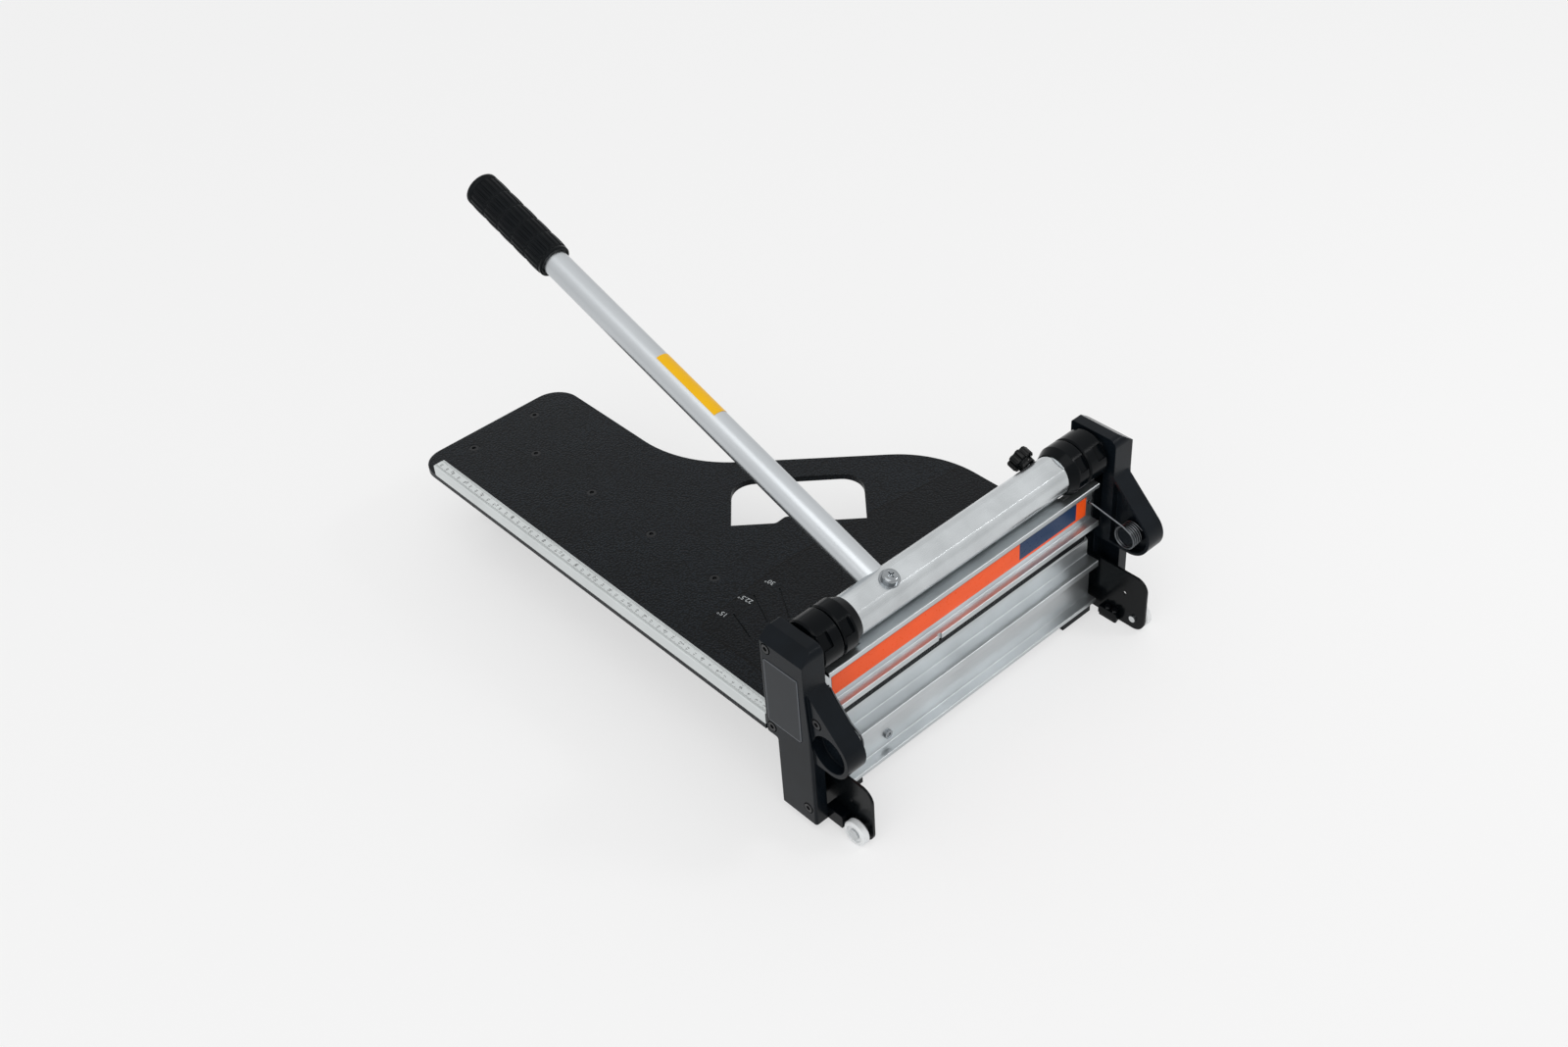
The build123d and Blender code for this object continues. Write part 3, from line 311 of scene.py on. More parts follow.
@dataclass(frozen=True)
class PebbledCoat(Finish):
    """Textured powder coat: rounded pebbles of paint, with painted shade in the hollows between
    them.

    A field bounded by straight lines is darker, and a thin groove of shadow runs along its bound.
    """

    pebble_mm: float = 1.5
    smoothness: float = 0.6
    pebble_height: float = 5.0
    # Painted shade: the colour falls from the base at the pebbles' crowns to this share in the
    # hollows
    crown_span: tuple = (0.2, 0.6)
    hollow: float = 0.2
    bound: tuple = ()
    bound_mm: float = 1.5
    bound_tone: float = 0.1
    field_tone: float = 0.62
    field_edge: float = 0.001

    def cells(self, tree: NodeTree) -> NodeSocket:
        """Distance from the middle of the nearest pebble, in cell widths."""
        settings = {"feature": "SMOOTH_F1", "Scale": 1 / (self.pebble_mm * MM),
                    "Smoothness": self.smoothness}
        cells = add_node(tree, "TexVoronoi", settings, {"Vector": own_place(tree)})
        return cells.outputs["Distance"]

    def depth(self, tree: NodeTree) -> NodeSocket:
        """How far a point lies inside the field: the least distance from the bound's lines."""
        place = own_place(tree)
        least = None
        for (x, y), (next_x, next_y) in zip(self.bound[:-1], self.bound[1:]):
            length = math.hypot(next_x - x, next_y - y)
            normal = ((next_y - y) / length, (x - next_x) / length, 0.0)
            reach = add_node(tree, "VectorMath", {"operation": "DOT_PRODUCT", 1: normal},
                             {0: place})
            inside = calc(tree, "SUBTRACT", reach.outputs["Value"], normal[0] * x + normal[1] * y)
            least = inside if least is None else calc(tree, "MINIMUM", least, inside)
        return least

    def tone(self, tree: NodeTree, broad: NodeSocket) -> NodeSocket:
        """Colour socket: painted shade in the pebbles' hollows, a darker field and its thin bound.
        """
        base = Finish.tone(self, tree, broad)
        # Painted shade: each pebble's colour darkens from its crown into the hollows between
        # pebbles
        shade_and_field = remap(tree, self.cells(tree), self.crown_span, (1.0, self.hollow))
        if self.bound:
            depth = self.depth(tree)
            field_share = remap(tree, depth, (0.0, self.field_edge), (1.0, self.field_tone))
            line_width = self.bound_mm * MM
            line_share = remap(tree, calc(tree, "ABSOLUTE", depth), (line_width / 3, line_width),
                               (self.bound_tone, 1.0))
            for share in (field_share, line_share):
                shade_and_field = calc(tree, "MULTIPLY", shade_and_field, share)
        shaded = add_node(tree, "VectorMath", {"operation": "SCALE"}, {0: base, "Scale": shade_and_field})
        return shaded.outputs["Vector"]

    def relief(self, tree: NodeTree) -> NodeSocket:
        """Normal socket: smooth cells as pebbles, with the fine grain on top."""
        relief = self.relief_mm * MM
        pebbles = add_node(tree, "Bump",
                           {"Strength": self.strength, "Distance": self.pebble_height * relief,
                            "invert": True}, {"Height": self.cells(tree)})
        bump = add_node(tree, "Bump", {"Strength": self.strength, "Distance": relief},
                        {"Height": self.pattern(tree, self.grain_scale(), GRAIN_DETAIL),
                         "Normal": pebbles.outputs["Normal"]})
        return bump.outputs["Normal"]


@dataclass(frozen=True)
class PanelFilm(Finish):
    """Printed film with one plain panel of a second colour between two places along X."""

    panel_colour: str = "#1b3559"
    panel_start: float = 0.0
    panel_end: float = 0.0
    panel_low: float = 0.0

    def tone(self, tree: NodeTree, broad: NodeSocket) -> NodeSocket:
        """Colour socket: the film's colour outside the panel and the panel's inside."""
        axes = add_node(tree, "SeparateXYZ", {}, {"Vector": own_place(tree)}).outputs
        across = calc(tree, "MULTIPLY", calc(tree, "GREATER_THAN", axes["X"], self.panel_start),
                      calc(tree, "LESS_THAN", axes["X"], self.panel_end))
        above = calc(tree, "GREATER_THAN", axes["Z"], self.panel_low)
        inside = calc(tree, "MULTIPLY", across, above)
        return paint_over(tree, inside, Finish.tone(self, tree, broad), self.panel_colour)


@dataclass(frozen=True)
class BorderedSheet(Finish):
    """Printed sheet standing in the YZ plane, with a thin pale line along its edge."""

    border_colour: str = "#5d6166"
    border_mm: float = 0.8
    centre: tuple = (0.0, 0.0)
    half_size: tuple = (1.0, 1.0)

    def tone(self, tree: NodeTree, broad: NodeSocket) -> NodeSocket:
        """Colour socket: the border's colour where the nearest edge is less than its width away."""
        axes = add_node(tree, "SeparateXYZ", {}, {"Vector": own_place(tree)}).outputs
        inward = []
        for axis, middle, half in zip("YZ", self.centre, self.half_size):
            away = calc(tree, "ABSOLUTE", calc(tree, "SUBTRACT", axes[axis], middle))
            inward.append(calc(tree, "SUBTRACT", half, away))
        border = calc(tree, "LESS_THAN", calc(tree, "MINIMUM", *inward), self.border_mm * MM)
        return paint_over(tree, border, Finish.tone(self, tree, broad), self.border_colour)


def new_piece(name: str, points: np.ndarray, faces: list, material: Material,
              body: str, node: str, smooth: bool = False) -> Object:
    """Make a mesh piece that rides on a body in place of a CAD node.

    Args:
        name: the piece's name.
        points: vertex places, one row each.
        faces: vertex numbers, one list a face.
        material: the piece's material.
        body: the CAD body that it moves with.
        node: the CAD node that it stands in for.
        smooth: whether it is shaded as one round surface.

    Returns:
        The new object.
    """
    mesh = bpy.data.meshes.new(name)
    mesh.from_pydata(points.reshape(-1, 3), [], faces)
    mesh.materials.append(material)
    mesh.polygons.foreach_set("use_smooth", np.full(len(mesh.polygons), smooth))
    mesh.update()
    piece = stand(name, mesh)
    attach(piece, body)
    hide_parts(node)
    return piece


@dataclass
class AlongHandle:
    """A line that leaves the rocker bar's middle along the handle, for pieces turned round it."""

    x: float
    tilt: float = 18.95

    def axes(self) -> tuple[np.ndarray, np.ndarray, np.ndarray]:
        """The bar's middle, the line's direction, and the one across it that points down."""
        low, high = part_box("rocker_bar")
        lean = math.radians(self.tilt)
        return (np.array([self.x, (low.y + high.y) / 2, (low.z + high.z) / 2]),
                np.array([0.0, math.cos(lean), math.sin(lean)]),
                np.array([0.0, math.sin(lean), -math.cos(lean)]))

    def surface(self, stations: np.ndarray, radii: np.ndarray) -> tuple[np.ndarray, list]:
        """Points and faces of a closed surface round the line.

        A point is the bar's middle, plus the station along the line, plus the radius across it,
        turned once round. Each end is closed by a fan on a point of the line.

        Args:
            stations: distance along the line in millimetres, one a row.
            radii: radius in millimetres, one row a station and one column a turn.

        Returns:
            Vertex places and faces with outward normals.
        """
        origin, line, across = self.axes()
        rows, columns = radii.shape
        turn = np.linspace(0, 2 * math.pi, columns, endpoint=False)
        ring = np.cos(turn)[:, None] * SIDEWAYS + np.sin(turn)[:, None] * across
        grid = stations[:, None, None] * line + radii[:, :, None] * ring[None]
        poles = stations[[0, -1], None] * line
        points = origin + MM * np.concatenate([grid.reshape(-1, 3), poles])
        row = np.arange(rows - 1)[:, None] * columns
        column = np.arange(columns)[None, :]
        after = (column + 1) % columns
        quads = np.stack([row + column, row + after, row + columns + after, row + columns + column],
                         axis=-1)
        column, after = column[0], after[0]
        first = np.stack([np.full(columns, rows * columns), after, column], axis=-1)
        last = (rows - 1) * columns
        final = np.stack([np.full(columns, rows * columns + 1), last + column, last + after],
                         axis=-1)
        return points, [*quads.reshape(-1, 4).tolist(), *first.tolist(), *final.tolist()]


def quarter(count: int) -> tuple[np.ndarray, np.ndarray]:
    """Run and rise of a quarter circle of radius one, from the flat end to the rim."""
    turn = np.linspace(0, math.pi / 2, count)
    return 1 - np.cos(turn), np.sin(turn)


@dataclass
class TubeLabel:
    """Thin film bent round the handle tube, on the side that the photograph shows.

    Its places along the tube are millimetres, its first side and its sweep are degrees.
    """

    material: Material
    start: float = 217.6
    end: float = 296.7
    first: float = -18.6
    sweep: float = 103.6
    gap: float = 0.03
    thick: float = 0.25
    steps: int = 90

    def build(self) -> Object:
        """Make the label.

        Its section is an outer arc and an inner arc back, both round the tube's line. The section
        stands at the first station and at the last one, with walls between and a cap at each.

        Returns:
            The new object.
        """
        low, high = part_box("handle_tube")
        origin, line, across = AlongHandle(middle_x("handle_tube")).axes()
        inner = (high.x - low.x) / 2 / MM + self.gap
        turn = np.radians(self.first + self.sweep * np.linspace(0, 1, self.steps))
        arc = np.sin(turn)[:, None] * SIDEWAYS - np.cos(turn)[:, None] * across
        section = np.concatenate([arc * (inner + self.thick), arc[::-1] * inner])
        both = [section + self.start * line, section + self.end * line]
        points = origin + MM * np.concatenate(both)
        count = len(section)
        corner = np.arange(count)
        after = (corner + 1) % count
        walls = np.stack([corner, corner + count, after + count, after], axis=-1)
        step = np.arange(self.steps - 1)
        cap = np.stack([step, step + 1, count - 2 - step, count - 1 - step], axis=-1)
        faces = [*walls.tolist(), *cap.tolist(), *(cap[:, ::-1] + count).tolist()]
        return new_piece("handle_film", points, faces, self.material, "rocker",
                         "handle_label")


@dataclass
class Springs:
    """Torsion springs whose coils stay in the ears."""

    material: Material
    head_y: float
    # Where the front leg starts to bend and where it is carried, from the head's middle and soles
    bend_from: tuple = (-0.0406, 0.1127)
    carried_at: tuple = (-0.0165, 0.1235)
    sole_height: float = 0.0089
    weld: float = 1e-6

    def build(self) -> list[Object]:
        """Make both springs from their solids' merged surfaces.

        Returns:
            The new objects.
        """
        made = []
        for side in ("left", "right"):
            wire = bmesh.new()
            wire.from_mesh(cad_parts[f"{side}_spring"].data)
            bmesh.ops.remove_doubles(wire, verts=wire.verts, dist=self.weld)
            mesh = bpy.data.meshes.new(f"{side}_spring_wire")
            wire.to_mesh(mesh)
            wire.free()
            mesh.materials.clear()
            mesh.materials.append(self.material)
            mesh.polygons.foreach_set("use_smooth", np.full(len(mesh.polygons), True))
            piece = stand(mesh.name, mesh)
            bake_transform(piece)
            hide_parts(f"{side}_spring")
            made.append(piece)
        return made


@dataclass
class FarFoot:
    """Foot folded from sheet, tapering to its bottom flange, with two rubber pads."""

    sheet: Material
    rubber: Material
    low_width: float = 0.076
    thick: float = 0.003
    bend: float = 0.003
    pad_length: float = 0.018
    steps: int = 6

    def corner(self, middle: tuple[float, float], radius: float, first: float) -> np.ndarray:
        """Quarter circle in the YZ plane that runs on from the first angle, in degrees."""
        turn = np.radians(first + np.linspace(0, 90, self.steps))
        return np.array(middle) + radius * np.stack([np.cos(turn), np.sin(turn)], axis=-1)

    def section(self, low: Vector, high: Vector) -> np.ndarray:
        """Outline of the folded sheet in Y and Z, open to the far side."""
        inner = self.bend - self.thick / 2
        outer_y = low.y + self.bend
        inner_y = low.y + self.thick + inner
        outside = [self.corner((outer_y, high.z - self.bend), self.bend, 90),
                   self.corner((outer_y, low.z + self.bend), self.bend, 180)]
        inside = [self.corner((inner_y, high.z - self.thick - inner), inner, 90),
                  self.corner((inner_y, low.z + self.thick + inner), inner, 180)]
        bottom = np.array([[high.y, low.z], [high.y, low.z + self.thick]])
        top = np.array([[high.y, high.z - self.thick], [high.y, high.z]])
        return np.concatenate([top[1:], *outside, bottom, np.concatenate(inside)[::-1], top[:1]])

    def prism(self, outline: np.ndarray, left: np.ndarray,
              right: np.ndarray) -> tuple[np.ndarray, list]:
        """Points and faces of an outline drawn from one X to another at each of its points."""
        count = len(outline)
        points = np.concatenate([np.column_stack([side, outline]) for side in (left, right)])
        step = np.arange(count)
        after = (step + 1) % count
        walls = np.stack([step, step + count, after + count, after], axis=-1)
        return points, [*walls.tolist(), step.tolist(), (step[::-1] + count).tolist()]

    def build(self) -> list[Object]:
        """Make the foot and its pads.

        The foot's half width falls evenly from the width at its top to that of its bottom.

        Returns:
            The new objects.
        """
        low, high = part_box("far_foot")
        middle = middle_x("far_foot")
        outline = self.section(low, high)
        share = (outline[:, 1] - low.z) / (high.z - low.z)
        half = self.low_width / 2 + share * ((high.x - low.x) - self.low_width) / 2
        points, faces = self.prism(outline, middle - half, middle + half)
        foot = new_piece("foot_folded", points, faces, self.sheet, "frame",
                         "far_foot")
        pad_low, pad_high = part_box("far_foot_pads")
        square = np.array([[pad_high.y, pad_high.z], [pad_low.y, pad_high.z],
                           [pad_low.y, pad_low.z], [pad_high.y, pad_low.z]])
        blocks, sides = [], []
        for side in (-1, 1):
            reach = sorted([middle + side * self.low_width / 2,
                            middle + side * (self.low_width / 2 - self.pad_length)])
            points, faces = self.prism(square, np.full(4, reach[0]), np.full(4, reach[1]))
            sides += [[corner + len(points) * len(blocks) for corner in face] for face in faces]
            blocks.append(points)
        pads = new_piece("foot_pads_rubber", np.concatenate(blocks), sides, self.rubber, "frame",
                         "far_foot_pads")
        return [foot, pads]


@dataclass
class HandleGrip:
    """Rubber grip: rows of raised ribs between a flange and a rounded cap, in millimetres."""

    material: Material
    start: float = 446.5
    flange_end: float = 450.0
    cap_start: float = 553.5
    end: float = 561.0
    bore: float = 12.85
    flange: float = 16.8
    core: float = 16.2
    rib_low: float = 17.2
    rib_high: float = 17.58
    cap: float = 17.2
    cap_round: float = 3.0
    flange_round: float = 1.2
    rows: int = 5
    ribs: int = 20
    gap: float = 1.8
    groove: float = 2.2
    softness: float = 0.9
    columns: int = 300
    stations: int = 170
    bore_depth: float = 3.0
    step: float = 0.2
    round_steps: int = 6

    def ridge(self, share: np.ndarray, pitch: float, groove: float) -> np.ndarray:
        """Height share of a row of ridges: one on the ridge, nought in the groove, eased between.

        Args:
            share: place along the row, in pitches.
            pitch: distance between grooves.
            groove: the groove's width.

        Returns:
            The height share at each place.
        """
        inside = (0.5 - np.abs(share % 1 - 0.5)) * pitch
        rise = np.clip((inside - groove / 2) / self.softness + 0.5, 0, 1)
        return rise * rise * (3 - 2 * rise)

    def build(self) -> Object:
        """Make the grip.

        Returns:
            The new object.
        """
        turn = np.linspace(0, 1, self.columns, endpoint=False)
        along = np.linspace(self.flange_end, self.cap_start, self.stations)
        row = (along - self.flange_end) / (self.cap_start - self.flange_end) * self.rows
        pitch = (self.cap_start - self.flange_end) / self.rows
        round_pitch = 2 * math.pi * self.core / self.ribs
        top = self.rib_low + (self.rib_high - self.rib_low) * np.sin(math.pi * (row % 1))
        height = (self.ridge(row, pitch, self.gap)[:, None]
                  * self.ridge(turn * self.ribs + 0.5, round_pitch, self.groove)[None])
        ribbed = self.core + (top - self.core)[:, None] * height
        run, rise = quarter(self.round_steps)
        near = np.concatenate([[self.start + self.bore_depth, self.start],
                               self.start + self.flange_round * run, [self.flange_end - self.step]])
        near_radius = np.concatenate([[self.bore, self.bore],
                                      self.flange - self.flange_round * (1 - rise), [self.flange]])
        far = np.concatenate([[self.cap_start + self.step], self.end - self.cap_round * run[::-1]])
        far_radius = np.concatenate([[self.cap], self.cap - self.cap_round * (1 - rise[::-1])])
        stations = np.concatenate([near, along, far])
        flat = np.ones(self.columns)
        radii = np.concatenate([near_radius[:, None] * flat, ribbed, far_radius[:, None] * flat])
        points, faces = AlongHandle(middle_x("handle_tube")).surface(stations, radii)
        return new_piece("grip_ribbed", points, faces, self.material, "rocker",
                         "handle_grip", smooth=True)


@dataclass
class StarKnob:
    """Fluted clamping knob with a smooth hub towards the bar, in millimetres."""

    material: Material
    hub_start: float = 19.7
    body_start: float = 25.3
    end: float = 35.5
    hub: float = 7.98
    hub_edge: float = 0.5
    radius: float = 11.68
    lobes: int = 8
    flute: float = 3.2
    flute_middle: float = 12.9
    edge: float = 1.5
    step: float = 0.01
    columns: int = 320
    round_steps: int = 7

    def outline(self) -> np.ndarray:
        """Radius round the knob: the rim, or the near side of a flute where one is cut."""
        part = 2 * math.pi / self.lobes
        turn = np.linspace(0, 2 * math.pi, self.columns, endpoint=False)
        turn = (turn + part / 2) % part - part / 2
        reach = self.flute_middle * np.sin(turn)
        chord = np.sqrt(np.clip(self.flute ** 2 - reach ** 2, 0, None))
        cut = self.flute_middle * np.cos(turn) - chord
        return np.where(np.abs(reach) < self.flute, np.minimum(cut, self.radius), self.radius)

    def build(self) -> Object:
        """Make the knob.

        Returns:
            The new object.
        """
        rim = self.outline()
        run, rise = quarter(self.round_steps)
        stations = np.concatenate([[self.hub_start], self.hub_start + self.hub_edge * run,
                                   [self.body_start - self.step], self.body_start + self.edge * run,
                                   self.end - self.edge * run[::-1]])
        hub = np.concatenate([[self.hub / 2], self.hub - self.hub_edge * (1 - rise), [self.hub]])
        inset = self.edge * (1 - rise)
        flat = np.ones(self.columns)
        radii = np.concatenate([hub[:, None] * flat, rim[None] - inset[:, None],
                                rim[None] - inset[::-1, None]])
        points, faces = AlongHandle(middle_x("star_knob")).surface(stations, radii)
        return new_piece("knob_fluted", points, faces, self.material, "knob",
                         "star_knob", smooth=True)


@dataclass
class Print:
    """Plain numbers and lines printed flat on a face, just above it."""

    material: Material
    height: float
    slot: str
    lift_mm: float = 0.04
    capital_share: float = 0.7
    curve_steps: int = 3
    meshes: list = field(default_factory=list)

    def number(self, text: str, place: tuple[float, float], size: float, heading: float) -> None:
        """Add a number, centred on a place.

        Args:
            text: the figures.
            place: the middle in X and Y.
            size: the figures' height.
            heading: the angle of the reading direction from +X, in radians.
        """
        curve = bpy.data.curves.new("figures", "FONT")
        curve.body = text
        curve.size = size / self.capital_share
        curve.align_x = "CENTER"
        curve.align_y = "CENTER"
        curve.resolution_u = self.curve_steps
        holder = stand("figures", curve)
        bpy.context.view_layer.update()
        mesh = bpy.data.meshes.new_from_object(holder)
        mesh.transform(Matrix.Translation((*place, self.height + self.lift_mm * MM))
                       @ Matrix.Rotation(heading, 4, "Z"))
        bpy.data.objects.remove(holder)
        self.meshes.append(mesh)

    def bars(self, centres: np.ndarray, lengths: np.ndarray, width: float) -> None:
        """Add fine bars across X at many places.

        Args:
            centres: the middle of each bar in X and Y.
            lengths: each bar's length along X.
            width: the bars' width along Y.
        """
        signs = np.array([[-1, -1], [1, -1], [1, 1], [-1, 1]]) / 2
        spans = np.stack([lengths, np.full(len(lengths), width)], axis=-1)
        flat = centres[:, None, :] + spans[:, None, :] * signs[None]
        level = np.full((*flat.shape[:2], 1), self.height + self.lift_mm * MM)
        points = np.concatenate([flat, level], axis=-1).reshape(-1, 3)
        mesh = bpy.data.meshes.new("bars")
        mesh.from_pydata(points, [], np.arange(len(points)).reshape(-1, 4))
        self.meshes.append(mesh)

    def finish(self, name: str) -> Object:
        """Join everything printed into one piece.

        Args:
            name: the piece's name.

        Returns:
            The new object.
        """
        points, faces = [], []
        for mesh in self.meshes:
            faces += [[len(points) + corner for corner in face.vertices] for face in mesh.polygons]
            points += [vertex.co[:] for vertex in mesh.vertices]
        joined = bpy.data.meshes.new(name)
        joined.from_pydata(points, [], faces)
        joined.materials.append(self.material)
        joined.update()
        piece = stand(name, joined)
        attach(piece, "frame")
        return piece


@dataclass
class Dressing:
    """Gives CAD nodes their materials."""

    finishes: dict = field(default_factory=dict)

    def material(self, finish: Finish) -> Material:
        """The material of a finish, made once."""
        if finish.name not in self.finishes:
            self.finishes[finish.name] = finish.build()
        return self.finishes[finish.name]

    def dress(self, finish: Finish, *nodes: str) -> None:
        """Put a finish on CAD nodes.

        Args:
            finish: the finish.
            nodes: the nodes' names.
        """
        for node in nodes:
            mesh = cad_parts[node].data
            mesh.materials.clear()
            mesh.materials.append(self.material(finish))
            log.info("dressed %s in %s", node, finish.name)


# Powder coat on board: dull black with pebbles that catch the light, and painted shade between them
BOARD_COAT = PebbledCoat("powder_coat_pebbled", "#151c22", 0.34, grain_mm=0.5, relief_mm=0.09,
                         strength=1.0, mottle=0.2, mottle_mm=60.0, pebble_mm=2.0, specular=0.12)
# Painted zinc die casting: satin black with a soft orange peel
CAST_PAINT = Finish("die_cast_satin_paint", "#0e1318", 0.22, grain_mm=0.9, relief_mm=0.07,
                    strength=0.9, mottle=0.2, rounding_mm=1.1, specular=0.11)
# Painted sheet steel: glossier black
SHEET_PAINT = Finish("sheet_steel_gloss_paint", "#080b0d", 0.2, grain_mm=1.2, strength=0.25,
                     specular=0.12)
# Extruded aluminium: pale grey with fine die lines along X
EXTRUDED = Finish("aluminium_extruded", "#bfc3c5", 0.38, 1.0, grain_mm=0.35, strength=0.3,
                  marks=Along.X, mottle=0.08, mottle_mm=60.0, roughness_swing=0.1)
# Drawn aluminium bar: smoother, lines along X, clouded by handling
DRAWN_BAR = Finish("aluminium_drawn_bar", "#c6cacc", 0.24, 1.0, grain_mm=0.3, strength=0.4,
                   marks=Along.X, mottle=0.1, mottle_mm=30.0, roughness_swing=0.1)
# Satin anodised tube: cool grey with a silky sheen
ANODISED_TUBE = Finish("aluminium_anodised_tube", "#c3c7ca", 0.32, 1.0, grain_mm=0.4,
                       relief_mm=0.01, strength=0.25, mottle=0.03, mottle_mm=80.0)
# Matt anodised ruler bar: nearly white
RULER_BAR = Finish("aluminium_matt_anodised", "#d6dada", 0.5, 0.85, grain_mm=0.3, relief_mm=0.01,
                   strength=0.2, marks=Along.Y, mottle=0.04, mottle_mm=50.0)
# Ground tool steel: crossed by fine grinding lines
GROUND_STEEL = Finish("tool_steel_ground", "#a9acae", 0.3, 1.0, grain_mm=0.25, strength=0.4,
                      marks=Along.Z, mottle=0.05)
# Zinc plate: bright with a faint cloud
ZINC_PLATE = Finish("steel_zinc_plated", "#93979a", 0.16, 1.0, grain_mm=0.5, relief_mm=0.01,
                    strength=0.3, mottle=0.1, mottle_mm=3.0, rounding_mm=0.3)
# Barrelled zinc of the rivets: paler and duller
RIVET_ZINC = replace(ZINC_PLATE, name="steel_zinc_barrelled", colour="#c9cccd", roughness=0.32)
# Black oxide steel: dark with an oily sheen
BLACK_OXIDE = Finish("steel_black_oxide", "#0e1013", 0.28, 0.3, grain_mm=0.4, relief_mm=0.01,
                     mottle=0.15, mottle_mm=4.0, rounding_mm=0.3, specular=0.4)
# Oil-tempered spring wire: dark, with bright lines where the lamps catch it
SPRING_WIRE = Finish("spring_wire_oiled", "#5f6265", 0.18, 1.0, grain_mm=0.3, relief_mm=0.01,
                     mottle=0.15, mottle_mm=5.0, rounding_mm=0.1)
# Moulded nylon: satin black with a fine spark-eroded grain
MOULDED_BLACK = Finish("nylon_moulded_black", "#04070a", 0.17, grain_mm=0.5, strength=0.3,
                       mottle=0.1, rounding_mm=1.0, specular=0.09)
# Polished moulding of the star knob
KNOB_BLACK = Finish("abs_moulded_black_gloss", "#050607", 0.08, grain_mm=2.0, relief_mm=0.01,
                    strength=0.15, rounding_mm=0.7, specular=0.2)
# White nylon rollers, slightly translucent
ROLLER_WHITE = Finish("nylon_turned_white", "#e0e2e3", 0.35, grain_mm=0.5, strength=0.3,
                      mottle=0.03, rounding_mm=0.6, translucency=0.3)
# Rubber of grip and pads: deep black, dull
GRIP_RUBBER = Finish("rubber_moulded_black", "#080c0f", 0.36, grain_mm=0.5, relief_mm=0.03,
                     specular=0.1)
# Dense plastic strip under the blade
STRIP_PLASTIC = Finish("polyethylene_strip_dark", "#14171a", 0.5, grain_mm=0.6, specular=0.2)
# Dark badge sheet, bare, and the pale line round its edge
BADGE_SHEET = BorderedSheet("aluminium_sheet_printed_dark", "#1b1f24", 0.34, grain_mm=0.4,
                            relief_mm=0.01, strength=0.2, mottle=0.04, rounding_mm=0.3,
                            specular=0.2)
# Orange film with a plain navy panel
ORANGE_FILM = PanelFilm("film_printed_orange", "#fa5a1e", 0.3, grain_mm=2.0, relief_mm=0.01,
                        strength=0.15, mottle=0.03, rounding_mm=0.05, specular=0.2,
                        panel_start=0.070, panel_end=0.1464, panel_low=0.1224)
# Yellow film on the handle
YELLOW_FILM = Finish("film_printed_yellow", "#eeb60c", 0.3, grain_mm=2.0, relief_mm=0.01,
                     strength=0.15, mottle=0.03, rounding_mm=0.05, specular=0.2)
# Printing ink
BLACK_INK = Finish("ink_printed_black", "#121416", 0.5, mottle=0.05, rounding_mm=0.01)
WHITE_INK = Finish("ink_printed_white", "#b4b8ba", 0.5, mottle=0.05, rounding_mm=0.01)

# The CAD nodes that wear a finish just as it stands above
WORN = (
    (CAST_PAINT, "support_rail", "left_housing", "right_housing"),
    (GRIP_RUBBER, "bed_pads"),
    (STRIP_PLASTIC, "anvil_strip"),
    (RULER_BAR, "ruler_fence"),
    (BLACK_OXIDE, "plate_screws", "housing_screws", "bracket_screws"),
    (SHEET_PAINT, "left_roller_bracket", "right_roller_bracket"),
    (EXTRUDED, "bed_extrusion", "carriage_extrusion"),
    (ZINC_PLATE, "bed_screw", "blade_screws", "handle_bolt", "handle_washer", "knob_stud"),
    (RIVET_ZINC, "roller_axles"),
    (ROLLER_WHITE, "left_roller", "right_roller"),
    (ORANGE_FILM, "carriage_label"),
    (GROUND_STEEL, "blade", "journal_pins"),
    (MOULDED_BLACK, "left_end_plate", "right_end_plate", "foot_blocks", "left_guide_block",
     "right_guide_block", "left_inner_collar", "left_outer_collar", "right_inner_collar",
     "right_outer_collar"),
    (DRAWN_BAR, "rocker_bar"),
    (ANODISED_TUBE, "handle_tube"),
)


@dataclass
class BasePlate:
    """Board, its angle figures and its foot."""

    dressing: Dressing
    head_y: float
    figure_height: float = 0.0052
    figure_heading: float = 98.0
    # Middle of each figure from the head's middle
    figures_at: tuple = (((-0.1390, 0.1548), "15°"), ((-0.1117, 0.1543), "22.5°"),
                         ((-0.0808, 0.1553), "30°"), ((-0.0060, 0.1552), "45°"))
    # Bound of the field of the angle marks, from the head's middle
    field_bound: tuple = ((-0.1639, 0.1200), (-0.1639, 0.1545), (-0.1565, 0.1578),
                          (-0.0569, 0.1665), (0.0200, 0.1625), (0.1000, 0.1525))

    def dress(self) -> None:
        """Finish the board, with its field bound at the head."""
        bound = tuple((x, y + self.head_y) for x, y in self.field_bound)
        self.dressing.dress(replace(BOARD_COAT, bound=bound), "base_plate")

    def foot(self) -> list[Object]:
        """Make the tapering foot and its pads."""
        paint, rubber = (self.dressing.material(finish) for finish in (CAST_PAINT, GRIP_RUBBER))
        return FarFoot(paint, rubber).build()

    def figures(self) -> Object:
        """Print the plain angle figures beyond the far end of each mark."""
        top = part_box("base_plate")[1].z
        ink = Print(self.dressing.material(WHITE_INK), top, slot="ruler_aluminium")
        for (x, y), text in self.figures_at:
            ink.number(text, (x, y + self.head_y), self.figure_height,
                       math.radians(self.figure_heading))
        return ink.finish("angle_figures")


